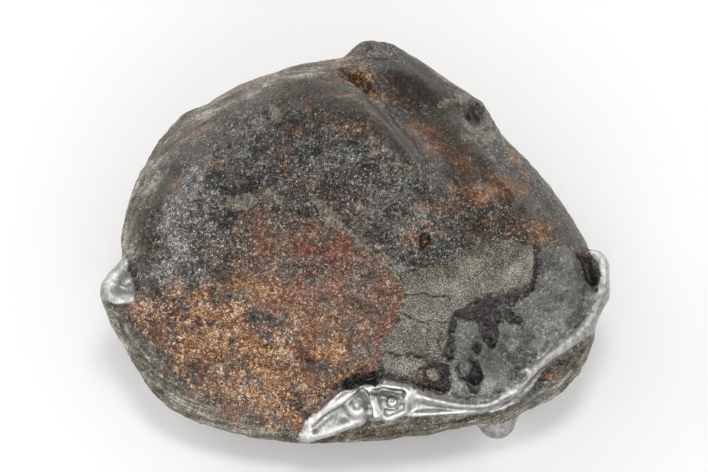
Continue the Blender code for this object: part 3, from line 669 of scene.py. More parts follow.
# Oval patches there: right and up of the middle, half length, half width, and turn in degrees
OVALS: dict[Finish, Knots] = {
    Finish.KHAKI: (
        (7.9, -13.9, 0.75, 0.55, -25), (11.2, -13.3, 0.55, 0.75, 15), (16.6, -13.8, 0.8, 0.95, -20),
    ),
    Finish.DARK: ((12.1, 12.3, 1.05, 1.0),),
    Finish.GOLD: ((6.9, -0.5, 0.9, 0.8), (-11.6, -2.2, 0.5, 2.6, 8)),
    Finish.BRIGHT: (
        (-11.4, -4.4, 1.6, 1.0), (-15.4, -11.4, 1.8, 1.3, 20), (-9.0, -12.6, 2.6, 1.9, -20),
        (-4.6, -8.4, 3.4, 0.9, -28), (-1.6, -12.0, 1.9, 1.2, -10), (1.2, -9.6, 1.6, 0.7, -20),
        (-6.0, -16.0, 1.6, 0.8, 10), (-12.6, -8.4, 1.6, 1.0), (0.4, 15.7, 1.9, 1.1, -40),
    ),
    Finish.RUST: (
        (5.1, 12.5, 0.9, 0.7), (7.9, 10.1, 1.5, 0.7, -50), (8.4, 9.0, 1.6, 1.0, -30),
        (10.9, 7.3, 1.4, 0.8, -40), (10.4, 4.0, 1.8, 0.9, -60), (12.6, 3.5, 1.2, 0.8), (16.0, 8.3, 0.8, 1.3),
        (17.2, 5.8, 1.1, 1.0), (14.2, 4.7, 1.5, 1.1), (16.2, 0.9, 1.8, 0.7, -15), (19.0, 0.9, 1.5, 0.9),
        (17.5, -0.1, 1.7, 0.5, -10), (7.1, 3.0, 0.8, 0.5), (8.6, 2.8, 0.7, 0.5), (13.2, 1.2, 1.6, 0.6, -10),
        (6.6, 10.6, 3.4, 0.9, -40), (12.3, 4.1, 2.6, 1.3, -15), (15.9, 5.0, 2.6, 1.1, -20),
        (18.1, 0.1, 2.1, 0.9, -15), (0.7, 10.8, 1.2, 0.9), (22.9, -9.2, 0.6, 1.4, -30),
        (19.4, -14.0, 0.9, 0.7), (-0.9, 11.0, 1.2, 0.7, -25), (0.9, 10.2, 1.0, 0.5, -35),
        (-13.3, 7.2, 1.4, 0.6), (-17.8, 5.1, 0.45, 0.4), (-9.9, 4.6, 0.7, 0.3), (-5.1, 5.1, 0.6, 0.3),
        (-16.4, 10.3, 1.3, 0.6, 30), (-5.7, 10.6, 1.4, 0.8), (-22.0, -8.0, 1.4, 0.7, -40),
        (18.8, -14.4, 0.7, 0.6), (22.1, -10.4, 1.2, 0.5, 60), (1.6, -19.6, 2.4, 0.4, 3),
        (23.0, -1.8, 0.8, 0.5),
    ),
    Finish.PALE: (
        (-11.1, 3.4, 1.9, 0.8, 8), (-8.6, 4.3, 0.6, 0.5), (-2.6, 2.3, 2.0, 0.65, -42),
        (0.8, -0.5, 2.2, 0.28, -38), (3.4, -2.6, 2.0, 0.3, -52), (-15.8, 3.7, 0.9, 0.2, 80),
        (-7.8, 12.3, 1.1, 0.5, -60), (2.1, 18.3, 0.5, 0.5), (9.2, 13.3, 1.0, 0.3, 25),
        (10.9, 14.0, 1.0, 0.75, 20), (12.9, 12.2, 0.6, 1.5, 30), (11.4, 10.9, 0.3, 1.0, 40),
        (12.4, 10.4, 0.65, 0.35, 60), (13.6, 10.0, 0.8, 0.55, 40), (11.3, 9.8, 0.5, 0.3),
        (13.9, 7.8, 0.45, 0.16, -55), (18.4, 3.0, 0.35, 0.2, 30), (4.1, 7.1, 1.7, 0.22, -8),
    ),
}
# Round patches on the hidden sides: a direction (right, back, up) from the core, and a radius in millimetres
DISCS: dict[Finish, Knots] = {
    Finish.OLIVINE: (
        (-10.0, 14.0, 6.0, 5.0), (9.0, 14.0, 6.0, 4.4), (21.0, 6.0, -3.0, 4.0), (-19.0, 5.0, -4.0, 4.6),
        (4.0, 18.0, -6.0, 4.0), (-6.0, -14.0, -9.0, 3.6),
    ),
    Finish.BLUE: ((1.0, 17.0, 3.0, 3.6), (17.0, 10.0, 2.0, 3.2)),
    Finish.KHAKI: ((-15.0, 12.0, -4.0, 3.4), (12.0, 12.0, -8.0, 3.6)),
    Finish.GOLD: ((-4.0, 16.0, -7.0, 4.6), (16.0, -4.0, -10.0, 4.0), (-14.0, -6.0, -9.0, 4.2)),
    Finish.RUST: ((8.0, 17.0, -1.0, 2.6), (-20.0, 7.0, -6.0, 2.4), (0.0, 12.0, 10.0, 2.6)),
    Finish.PALE: ((-2.0, 15.0, 7.0, 1.0), (13.0, 12.0, 4.0, 0.9), (-16.0, 9.0, 5.0, 1.1)),
    Finish.DARK: ((5.0, 17.0, 5.4, 0.8), (17.5, 9.0, -6.0, 1.0)),
    Finish.NIGHT: ((-3.0, 17.0, -3.4, 3.4), (-12.0, 15.0, 1.0, 2.8)),
    Finish.PLUM: ((10.0, 17.0, 2.0, 3.0),),
}
# Pale veins of the olivine and pale lines of the crust, as lines (right, up) in the view of the front side
VEINS: tuple[Knots, ...] = (
    ((-6.7, 0.9), (-7.1, -0.3), (-7.7, -1.7), (-7.9, -2.6)),
    ((-9.1, 0.0), (-7.8, -0.6), (-7.0, -0.8), (-6.0, -1.1)),
    ((-5.3, 2.1), (-4.3, 1.5), (-2.8, 1.8), (-1.8, 0.8), (-0.5, 0.1), (0.3, -0.6), (1.5, -1.6)),
    ((-10.9, -5.9), (-9.8, -7.0), (-8.8, -7.3), (-7.1, -8.3), (-5.0, -9.0), (-3.0, -9.6)),
    ((-9.8, -6.2), (-8.0, -7.0), (-6.4, -7.2), (-4.6, -8.2), (-2.2, -8.8), (-0.8, -9.4)),
    ((-11.5, -1.0), (-11.2, -2.6), (-10.6, -4.0), (-10.8, -5.6)),
    ((0.6, 7.2), (1.8, 7.5), (2.8, 7.0), (3.8, 7.3), (5.0, 6.9), (5.8, 6.4)),
    ((-3.6, 6.9), (-2.4, 7.2), (-1.2, 6.8), (0.0, 7.1)),
    ((1.6, -1.2), (2.6, -2.6), (3.8, -3.4), (4.6, -4.6)),
)
# Low swellings and dents: an oval's sizes, and how far it rises, in millimetres
SWELLINGS: Knots = (
    (-6.3, 8.0, 1.7, 1.2, 20, 0.3), (-0.4, 8.4, 1.9, 1.2, -10, 0.3), (-3.5, 8.7, 1.3, 0.9, 0, -0.35),
    (-7.6, 5.2, 1.6, 1.2, 0, 0.22), (-11.2, 6.2, 2.0, 1.3, 0, 0.2), (-9.4, 9.0, 1.4, 1.6, 0, -0.22),
    (1.8, 7.4, 2.6, 0.8, -15, -0.25), (5.2, 6.0, 1.8, 1.1, -20, 0.18), (8.6, 4.6, 1.5, 1.3, 0, 0.2),
    (-14.6, 4.4, 2.4, 1.6, 30, 0.2), (-16.6, 1.4, 1.4, 2.2, 0, -0.18), (-13.6, -1.6, 1.6, 2.0, 0, 0.18),
    (11.9, 1.6, 2.2, 0.9, -10, 0.22), (4.6, 1.4, 2.4, 1.3, -15, 0.18), (0.2, 3.6, 2.6, 1.4, -10, 0.16),
    (-18.2, -9.0, 2.0, 1.3, 20, 0.25), (-13.6, -13.2, 2.4, 1.2, -25, 0.25),
    (-9.0, -10.4, 2.6, 1.0, -10, -0.22), (-4.4, -12.6, 2.2, 1.2, 0, 0.24), (-1.0, -11.0, 1.6, 0.9, -10, 0.22),
    (0.6, -13.2, 1.6, 0.6, -20, -0.3), (-6.6, -17.0, 2.2, 0.8, 15, -0.25), (1.8, -7.0, 2.6, 0.8, -20, -0.16),
    (-3.4, -4.4, 3.0, 1.6, 0, 0.14), (15.6, 4.2, 1.6, 1.2, -40, 0.22), (12.6, 6.8, 1.8, 0.9, -50, -0.2),
    (17.6, 1.8, 1.8, 1.0, -40, 0.2),
)
# Cracks of the khaki plate and of the crust, as lines (right, up) in the view of the front side
CRACKS: tuple[Knots, ...] = (
    ((5.0, -5.8), (6.0, -5.9), (6.9, -5.7), (7.9, -6.1), (9.1, -6.0), (9.7, -6.4)),
    ((5.0, -7.8), (6.0, -8.3), (7.0, -8.6), (8.0, -8.4), (8.7, -8.7), (9.4, -8.5)),
    ((7.4, -8.6), (7.5, -9.3), (7.2, -10.0), (7.4, -10.9)),
    ((8.8, -9.6), (8.4, -10.6), (8.7, -11.4)),
    ((2.6, -11.8), (3.4, -11.6), (4.4, -11.9), (5.6, -11.8), (6.4, -12.1), (7.2, -12.1)),
    ((3.6, 12.2), (4.9, 10.8), (6.0, 9.6), (6.5, 8.7)),
)


def fractal(points: np.ndarray, wavelength: float, octaves: int, seed: int) -> np.ndarray:
    """Samples a soft, lumpy noise.

    Args:
        points: Rows of x, y, z in millimetres.
        wavelength: The size of the largest lumps.
        octaves: How many layers there are, each half as large and half as strong as the one before.
        seed: Which noise of many.

    Returns:
        A value for each point, mostly from -1 to 1.
    """
    directions = unit(np.random.default_rng(seed).normal(size=(256, 3)))
    total = np.zeros(len(points))
    for octave in range(octaves):
        places = points * (2 ** octave / wavelength) + 31.7 * (octave + 1)
        cells = np.floor(places).astype(np.int64)
        share = places - cells
        ease = share ** 3 * (share * (share * 6 - 15) + 10)
        for corner in np.ndindex(2, 2, 2):
            mixed = (cells + corner) * np.array([73856093, 19349663, 83492791])
            mixed = mixed[:, 0] ^ mixed[:, 1] ^ mixed[:, 2]
            slopes = directions[(mixed ^ (mixed >> 9)) & 255]
            weight = np.where(np.array(corner) == 1, ease, 1 - ease).prod(axis=1)
            total += 1.6 * weight * ((share - corner) * slopes).sum(axis=1) / 2 ** octave
    return total


def smooth_step(values: np.ndarray, low: float, high: float) -> np.ndarray:
    """Returns 0 below low, 1 above high, and a smooth rise between."""
    share = np.clip((values - low) / (high - low), 0.0, 1.0)
    return share * share * (3 - 2 * share)


@dataclass(frozen=True)
class Lumps:
    """A layer of soft lumps and dents, in millimetres."""

    height: float
    wavelength: float
    octaves: int
    seed: int

    def rise(self, points: np.ndarray) -> np.ndarray:
        """Returns how much the layer raises each point."""
        return self.height * fractal(points, self.wavelength, self.octaves, self.seed)


@dataclass
class StoneSkin:
    """The stone's skin as a mesh, with its relief and its patches. All sizes are millimetres."""

    form: StoneForm = field(default_factory=StoneForm)
    cube_cuts: int = 40             # cuts along each edge of the cube that the ball is made from
    skin_step: float = 0.50         # size of the small cubes that fuse the ball and the ropes' beads
    metal_low: tuple[float, float] = (2.0, -20.4)       # the part of the front that gets the finest mesh
    metal_high: tuple[float, float] = (25.5, -0.4)
    facing_limit: float = 0.12      # how squarely a face meets the eye to get a fine mesh
    settling_rounds: int = 6
    sinking_steps: int = 8
    outward_probe: float = 0.15     # the step that the outward directions are measured with
    deepest_inside: float = 3.0     # patch distances are kept up to this
    fading: float = 8.0             # how fast a patch ends where the surface turns away, in millimetres
    still_facing: float = 0.05      # how squarely the surface meets the eye where that starts
    rightward: Lumps = Lumps(0.35, 1.4, 2, 8)       # how far the swellings' edges wander
    upward: Lumps = Lumps(0.35, 1.4, 2, 9)
    steep_edge: float = 0.75        # the share of a swelling's half width in which it rises
    sharp_rise: float = 0.06        # how far a sharp dip's or ridge's points lie from their surroundings
    hollow_rounds: int = 4
    ragged: Lumps = Lumps(0.25, 0.9, 2, 3)          # how far the patches' edges wander in the relief
    edge_width: float = 0.12
    broad_lumps: Lumps = Lumps(0.09, 4.5, 3, 1)
    lumps: Lumps = Lumps(0.10, 1.3, 3, 2)
    fine_lumps: Lumps = Lumps(0.05, 0.45, 2, 4)
    plate_waves: Lumps = Lumps(0.11, 1.7, 2, 5)
    plate_dents: Lumps = Lumps(0.03, 0.6, 2, 7)
    proud: tuple[tuple[Finish, float], ...] = (     # how far patches stand proud or lie low
        (Finish.OLIVINE, 0.05), (Finish.KHAKI, -0.06), (Finish.PALE, 0.05),
    )
    pit_depth: float = 0.30
    pit_floor: Lumps = Lumps(0.15, 0.7, 2, 6)
    crack_depth: float = 0.12
    crack_width: float = 0.16

    def rough(self) -> bpy.types.Mesh:
        """Fuses a ball, drawn onto the broad faces, with a bead at each step of the raised ropes.

        Returns:
            A closed mesh of small squares near the stone's surface.
        """
        work = bmesh.new()
        bmesh.ops.create_cube(work, size=2.0)
        bmesh.ops.subdivide_edges(work, edges=work.edges[:], cuts=self.cube_cuts, use_grid_fill=True)
        directions = unit(np.tan(np.array([vertex.co for vertex in work.verts]) * math.pi / 4))
        reach = self.form.reach_along(directions, self.form.body)
        for vertex, place in zip(work.verts, np.array(self.form.view.core) + directions * reach[:, None]):
            vertex.co = place
        for rope in self.form.raised:
            for *place, radius in rope.path:
                bmesh.ops.create_icosphere(work, subdivisions=2, radius=radius,
                                           matrix=Matrix.Translation(place))
        mesh = bpy.data.meshes.new("rough_form")
        work.to_mesh(mesh)
        work.free()
        rough = bpy.data.objects.new("rough_form", mesh)
        bpy.context.scene.collection.objects.link(rough)
        skin = rough.modifiers.new("skin", "REMESH")
        skin.mode = "VOXEL"
        skin.voxel_size = self.skin_step
        fused = bpy.data.meshes.new_from_object(rough.evaluated_get(bpy.context.evaluated_depsgraph_get()))
        bpy.data.objects.remove(rough)
        return fused

    def settle(self, mesh: bpy.types.Mesh, outside: Field, rounds: int) -> None:
        """Puts the mesh's points on a surface and evens them out along it.

        Args:
            mesh: The mesh.
            outside: The distance whose zero is the surface.
            rounds: How many times.
        """
        points, edges = self.points_of(mesh), self.edges_of(mesh)
        for _ in range(rounds):
            outward = slope(points, outside)
            points = points - outward * outside(points)[:, None]
            pull = self.mean_of_neighbours(points, edges) - points
            points = points + pull - outward * (pull * outward).sum(axis=1, keepdims=True)
        points = points - slope(points, outside) * outside(points)[:, None]
        mesh.vertices.foreach_set("co", points.ravel())
        mesh.update()

    @staticmethod
    def points_of(mesh: bpy.types.Mesh) -> np.ndarray:
        """Returns the mesh's points as rows of x, y, z."""
        flat = np.empty(len(mesh.vertices) * 3, np.float32)
        mesh.vertices.foreach_get("co", flat)
        return flat.reshape(-1, 3).astype(float)

    @staticmethod
    def edges_of(mesh: bpy.types.Mesh) -> np.ndarray:
        """Returns the mesh's edges both ways, as rows of two point numbers."""
        flat = np.empty(len(mesh.edges) * 2, np.int32)
        mesh.edges.foreach_get("vertices", flat)
        ends = flat.reshape(-1, 2)
        return np.vstack([ends, ends[:, ::-1]])

    @staticmethod
    def mean_of_neighbours(values: np.ndarray, edges: np.ndarray) -> np.ndarray:
        """Returns for each point the mean of its neighbours' rows."""
        count = np.bincount(edges[:, 0], minlength=len(values))
        columns = [np.bincount(edges[:, 0], column[edges[:, 1]], len(values)) / count for column in values.T]
        return np.stack(columns, axis=1)

    def refine(self, mesh: bpy.types.Mesh, low: tuple[float, float], high: tuple[float, float]) -> None:
        """Halves the squares that face the eye inside a box in the view of the front side.

        Args:
            mesh: The mesh.
            low: Right and up of the box's lower left corner.
            high: Right and up of its upper right corner.
        """
        work = bmesh.new()
        work.from_mesh(mesh)
        centres = np.array([face.calc_center_median() for face in work.faces])
        normals = np.array([face.normal for face in work.faces])
        facing = (normals * unit(self.form.view.eye - centres)).sum(axis=1) > self.facing_limit
        seen = self.form.view.project(centres)
        chosen = facing & (seen > np.array(low)).all(axis=1) & (seen < np.array(high)).all(axis=1)
        edges = {edge for face, take in zip(work.faces, chosen) if take for edge in face.edges}
        edges = sorted(edges, key=lambda edge: edge.index)
        bmesh.ops.subdivide_edges(work, edges=edges, cuts=1, use_grid_fill=True)
        work.to_mesh(mesh)
        work.free()

    def patch_distances(self, points: np.ndarray, normals: np.ndarray) -> dict[Finish, np.ndarray]:
        """Measures how far inside the patches of each finish every point lies.

        Args:
            points: Rows of x, y, z.
            normals: The surface's outward directions there.

        Returns:
            For each finish the distances, negative outside its patches.
        """
        limit = self.deepest_inside
        found = {finish: np.full(len(points), -limit) for finish in Finish}
        toward_eye = (normals * unit(self.form.view.eye - points)).sum(axis=1)
        turned_away = self.fading * np.clip(self.still_facing - toward_eye, 0.0, 1.0)
        turned_toward = self.fading * np.clip(toward_eye, 0.0, 1.0)
        seen = self.form.view.project(points)
        front = [(finish, Outline(knots)) for finish, group in OUTLINES.items() for knots in group]
        front += [(finish, Oval(*sizes)) for finish, group in OVALS.items() for sizes in group]
        for finish, patch in front:
            inside = np.minimum(patch.inside(seen), limit) - turned_away
            found[finish] = np.maximum(found[finish], inside)
        for finish, group in DISCS.items():
            for *direction, radius in group:
                centre = self.form.spot(Place.FACING, tuple(direction), self.form.whole)
                inside = np.minimum(radius - np.linalg.norm(points - centre, axis=1), limit) - turned_toward
                found[finish] = np.maximum(found[finish], inside)
        for rope in self.form.raised:
            if rope.bare >= 0:
                inside = np.clip(rope.bare - rope.outside(points, limit), -limit, limit)
                found[Finish.METAL] = np.maximum(found[Finish.METAL], inside)
        return found

    def line_distances(self, points: np.ndarray, normals: np.ndarray, lines: tuple[Knots, ...]) -> np.ndarray:
        """Returns how far each point lies from the nearest line, as the eye sees it, up to 3 mm."""
        nearest = np.full(len(points), self.deepest_inside)
        front = np.flatnonzero((normals * unit(self.form.view.eye - points)).sum(axis=1) > 0)
        seen = self.form.view.project(points[front])
        for knots in lines:
            line = smooth_path(np.array(knots), 4)
            for start, end in zip(line, line[1:]):
                along = end - start
                share = np.clip((seen - start) @ along / (along @ along), 0.0, 1.0)
                gap = np.linalg.norm(seen - start - share[:, None] * along, axis=1)
                nearest[front] = np.minimum(nearest[front], gap)
        return nearest

    def swelling(self, points: np.ndarray, normals: np.ndarray) -> np.ndarray:
        """Returns how much the low swellings and dents of the front side raise each point."""
        rise = np.zeros(len(points))
        front = np.flatnonzero((normals * unit(self.form.view.eye - points)).sum(axis=1) > 0)
        seen = self.form.view.project(points[front])
        seen = seen + np.stack([self.rightward.rise(points[front]), self.upward.rise(points[front])], axis=1)
        for *sizes, height in SWELLINGS:
            oval = Oval(*sizes)
            rise[front] += height * smooth_step(oval.inside(seen) / oval.half_short, 0.0, self.steep_edge)
        return rise

    def relief(self, points: np.ndarray, patches: dict[Finish, np.ndarray], cracks: np.ndarray) -> np.ndarray:
        """Works out the small relief.

        Args:
            points: Rows of x, y, z.
            patches: How far inside each finish they lie.
            cracks: How far from a crack they lie.

        Returns:
            How far each point moves outwards, in millimetres.
        """
        edge = self.edge_width
        ragged = self.ragged.rise(points)
        cover = {finish: smooth_step(inside + ragged, -edge, edge) for finish, inside in patches.items()}
        plates = np.maximum.reduce([cover[Finish.METAL], cover[Finish.BLUE], cover[Finish.KHAKI]])
        calm = np.maximum(plates, 0.8 * cover[Finish.SMOOTH])
        grainy = (1 - calm) * (1 - 0.5 * cover[Finish.OLIVINE])
        height = self.broad_lumps.rise(points) * (1 - 0.85 * plates)
        height += self.lumps.rise(points) * (0.12 + 0.88 * grainy)
        height += self.fine_lumps.rise(points) * (grainy + 0.7 * cover[Finish.GOLD])
        height += (self.plate_waves.rise(points) + self.plate_dents.rise(points)) * cover[Finish.BLUE]
        height += sum(rise * cover[finish] for finish, rise in self.proud)
        sunk = cover[Finish.DARK] * (1 - smooth_step(patches[Finish.KHAKI], -0.05, 0.25))
        height -= sunk * (self.pit_depth + self.pit_floor.rise(points))
        height -= self.crack_depth * (1 - smooth_step(cracks, 0.0, self.crack_width))
        return height

    def smooth(self) -> bpy.types.Mesh:
        """Makes the skin without its relief, with the finest mesh at the metal end of the front."""
        mesh = self.rough()
        self.settle(mesh, self.form.bumps, self.settling_rounds)
        self.refine(mesh, (-math.inf, -math.inf), (math.inf, math.inf))
        self.refine(mesh, self.metal_low, self.metal_high)
        self.settle(mesh, self.form.bumps, 1)
        points = self.points_of(mesh)
        outward = slope(points, self.form.bumps)
        for _ in range(self.sinking_steps):
            points -= outward * self.form.whole(points)[:, None]
        mesh.vertices.foreach_set("co", points.ravel())
        self.settle(mesh, self.form.whole, 2)
        return mesh

    def build(self) -> bpy.types.Object:
        """Makes the skin.

        Returns:
            The stone's object, in metres, with an attribute for each finish.
        """
        mesh = self.smooth()
        points = self.points_of(mesh)
        outward = slope(points, self.form.whole, self.outward_probe)
        patches = self.patch_distances(points, outward)
        values = {finish.value: inside for finish, inside in patches.items()}
        values["crack"] = self.line_distances(points, outward, CRACKS)
        values["vein"] = self.line_distances(points, outward, VEINS)
        height = self.relief(points, patches, values["crack"]) + self.swelling(points, outward)
        low, high = (np.array(corner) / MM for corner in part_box(NODE))
        points = np.clip(points + outward * height[:, None], low, high)
        # How hollow the surface is: the material paints shade in the dips and highlights on the metal's
        # ridges from it
        values["hollow"] = self.hollow(points, outward, self.edges_of(mesh))
        mesh.vertices.foreach_set("co", (points * MM).ravel())
        for name, value in values.items():
            attribute = mesh.attributes.new(name, "FLOAT", "POINT")
            attribute.data.foreach_set("value", value.astype(np.float32))
        work = bmesh.new()
        work.from_mesh(mesh)
        bmesh.ops.triangulate(work, faces=work.faces[:])
        work.to_mesh(mesh)
        work.free()
        mesh.shade_smooth()
        stone = bpy.data.objects.new("stone", mesh)
        bpy.context.scene.collection.objects.link(stone)
        LOG.info("stone: %d triangles", len(mesh.polygons))
        return stone

    def hollow(self, points: np.ndarray, outward: np.ndarray, edges: np.ndarray) -> np.ndarray:
        """Returns how hollow the surface is at each point, about 1 in a sharp dip and -1 on a sharp ridge."""
        spread = points
        for _ in range(self.hollow_rounds):
            spread = self.mean_of_neighbours(spread, edges)
        rise = ((spread - points) * outward).sum(axis=1)
        return np.clip(rise / self.sharp_rise, -1.0, 1.0)


def looks(red: float, green: float, blue: float) -> tuple[float, float, float]:
    """Works out a paint's colour from how it looks under the studio's lights.

    Args:
        red: Red as seen, from 0 to 255.
        green: Green as seen.
        blue: Blue as seen.

    Returns:
        The paint's linear red, green and blue.
    """
    sheen, brightness = 0.038, 1.58
    seen = np.array([red, green, blue]) / 255
    linear = np.where(seen <= 0.04045, seen / 12.92, ((seen + 0.055) / 1.055) ** 2.4)
    return tuple(float(value) for value in np.maximum((linear - sheen) / brightness, 0.003))


def shades(red: float, green: float, blue: float, contrast: float = 1.0) -> Palette:
    """Spreads a finish's middle tone from its dark grains to its pale ones.

    Args:
        red: Red as seen, from 0 to 255.
        green: Green as seen.
        blue: Blue as seen.
        contrast: How much the grains differ.

    Returns:
        The colours as seen.
    """
    return tuple(tuple(tone + contrast * shade for tone in (red, green, blue)) for shade in GRAIN_SHADES)


@dataclass(frozen=True)
class Signal:
    """A value inside a material, which can be added to, taken from and multiplied with others and numbers."""

    shader: "Shader"
    socket: bpy.types.NodeSocket

    def __add__(self, other: object) -> "Signal":
        """Returns the sum."""
        return self.shader.math("ADD", self, other)

    def __sub__(self, other: object) -> "Signal":
        """Returns the value less another."""
        return self.shader.math("SUBTRACT", self, other)

    def __rsub__(self, other: object) -> "Signal":
        """Returns another value less this one."""
        return self.shader.math("SUBTRACT", other, self)

    def __mul__(self, other: object) -> "Signal":
        """Returns the product."""
        return self.shader.math("MULTIPLY", self, other)


class Shader:
    """Builds a material's nodes with short calls."""

    def __init__(self, name: str) -> None:
        """Starts a material with one Principled shader.

        Args:
            name: The material's name.
        """
        self.material = bpy.data.materials.new(name)
        self.material.use_nodes = True
        self.tree = self.material.node_tree
        self.principled = self.tree.nodes["Principled BSDF"]
        coordinates = self.tree.nodes.new("ShaderNodeTexCoord")
        scale = self.tree.nodes.new("ShaderNodeVectorMath")
        scale.operation = "SCALE"
        scale.inputs["Scale"].default_value = 1 / MM
        self.tree.links.new(coordinates.outputs["Object"], scale.inputs[0])
        self.millimetres = scale.outputs[0]

    def plug(self, socket: bpy.types.NodeSocket, value: object) -> None:
        """Links a signal or another socket to a socket, or sets its value."""
        if isinstance(value, Signal):
            self.tree.links.new(value.socket, socket)
        elif isinstance(value, bpy.types.NodeSocket):
            self.tree.links.new(value, socket)
        elif isinstance(value, tuple) and len(value) == 3 and socket.type == "RGBA":
            socket.default_value = (*value, 1.0)
        else:
            socket.default_value = value

    def math(self, operation: str, *values: object) -> Signal:
        """Returns the result of a Math node."""
        node = self.tree.nodes.new("ShaderNodeMath")
        node.operation = operation
        for socket, value in zip(node.inputs, values):
            self.plug(socket, value)
        return Signal(self, node.outputs[0])

    def attribute(self, name: str) -> Signal:
        """Returns a mesh attribute's value."""
        node = self.tree.nodes.new("ShaderNodeAttribute")
        node.attribute_name = name
        return Signal(self, node.outputs["Fac"])

    def noise(self, wavelength: float, detail: float = 2.0, roughness: float = 0.5, shift: float = 0.0,
              stretch: tuple[float, float, float] = (1.0, 1.0, 1.0), across: object = None) -> Signal:
        """Adds a noise.

        Args:
            wavelength: The size of its largest lumps in millimetres.
            detail: How many finer layers it has.
            roughness: How strong those are.
            shift: Moves it, so that two noises differ.
            stretch: Divides the wavelength along each axis.
            across: A distance along which it also changes.

        Returns:
            Its value, mostly from 0.3 to 0.7.
        """
        mapping = self.tree.nodes.new("ShaderNodeMapping")
        mapping.inputs["Location"].default_value = (shift, shift * 0.7, shift * 1.3)
        mapping.inputs["Scale"].default_value = stretch
        self.plug(mapping.inputs["Vector"], self.millimetres)
        place = mapping.outputs[0]
        if across is not None:
            sideways = self.tree.nodes.new("ShaderNodeCombineXYZ")
            self.plug(sideways.inputs[0], across)
            moved = self.tree.nodes.new("ShaderNodeVectorMath")
            self.plug(moved.inputs[0], place)
            self.plug(moved.inputs[1], sideways.outputs[0])
            place = moved.outputs[0]
        node = self.tree.nodes.new("ShaderNodeTexNoise")
        node.inputs["Scale"].default_value = 1 / wavelength
        node.inputs["Detail"].default_value = detail
        node.inputs["Roughness"].default_value = roughness
        self.plug(node.inputs["Vector"], place)
        return Signal(self, node.outputs["Fac"])

    def cells(self, size: float, output: str, warp: float = 0.0) -> Signal:
        """Adds Voronoi cells.

        Args:
            size: Their size in millimetres.
            output: Color for a random colour in each, or Distance from the middle of each.
            warp: How far their edges wander, in millimetres.

        Returns:
            The output.
        """
        place = self.millimetres
        if warp:
            wander = self.tree.nodes.new("ShaderNodeTexNoise")
            wander.inputs["Scale"].default_value = 1 / size
            self.plug(wander.inputs["Vector"], place)
            offset = self.tree.nodes.new("ShaderNodeVectorMath")
            offset.operation = "MULTIPLY_ADD"
            self.plug(offset.inputs[0], wander.outputs["Color"])
            offset.inputs[1].default_value = (2 * warp, 2 * warp, 2 * warp)
            self.plug(offset.inputs[2], place)
            place = offset.outputs[0]
        node = self.tree.nodes.new("ShaderNodeTexVoronoi")
        node.inputs["Scale"].default_value = 1 / size
        self.plug(node.inputs["Vector"], place)
        return Signal(self, node.outputs[output])

    def largest(self, first: object, second: object) -> Signal:
        """Returns the larger of two values."""
        return self.math("MAXIMUM", first, second)

    def channel(self, colour: Signal, index: int) -> Signal:
        """Returns the red, green or blue of a colour."""
        node = self.tree.nodes.new("ShaderNodeSeparateColor")
        self.plug(node.inputs[0], colour)
        return Signal(self, node.outputs[index])

    def step(self, value: object, low: float, high: float) -> Signal:
        """Returns 0 below low, 1 above high and a smooth rise between; the reverse if low is above high."""
        node = self.tree.nodes.new("ShaderNodeMapRange")
        node.interpolation_type = "SMOOTHSTEP"
        falling = low > high
        self.plug(node.inputs["Value"], value)
        node.inputs["From Min"].default_value = min(low, high)
        node.inputs["From Max"].default_value = max(low, high)
        node.inputs["To Min"].default_value = 1.0 if falling else 0.0
        node.inputs["To Max"].default_value = 0.0 if falling else 1.0
        return Signal(self, node.outputs["Result"])

    def mix(self, share: object, first: object, second: object) -> Signal:
        """Returns a colour between two colours."""
        node = self.tree.nodes.new("ShaderNodeMix")
        node.data_type = "RGBA"
        self.plug(node.inputs[0], share)
        self.plug(node.inputs[6], first)
        self.plug(node.inputs[7], second)
        return Signal(self, node.outputs[2])

    def ramp(self, value: object, palette: Palette) -> Signal:
        """Returns a colour of a palette: its first at 0, its last at 1."""
        node = self.tree.nodes.new("ShaderNodeValToRGB")
        self.plug(node.inputs[0], value)
        stops = node.color_ramp.elements
        while len(stops) < len(palette):
            stops.new(0.5)
        for index, colour in enumerate(palette):
            stops[index].position = index / (len(palette) - 1)
            stops[index].color = (*looks(*colour), 1.0)
        return Signal(self, node.outputs["Color"])

    def blend(self, share: object, first: object, second: object) -> Signal:
        """Returns a number between two numbers."""
        node = self.tree.nodes.new("ShaderNodeMix")
        self.plug(node.inputs["Factor"], share)
        self.plug(node.inputs[2], first)
        self.plug(node.inputs[3], second)
        return Signal(self, node.outputs[0])

    def bump(self, height: object, strength: float, distance: float) -> Signal:
        """Returns a normal with a bump of a height of up to distance, in millimetres."""
        node = self.tree.nodes.new("ShaderNodeBump")
        node.inputs["Strength"].default_value = strength
        node.inputs["Distance"].default_value = distance * MM
        self.plug(node.inputs["Height"], height)
        return Signal(self, node.outputs[0])


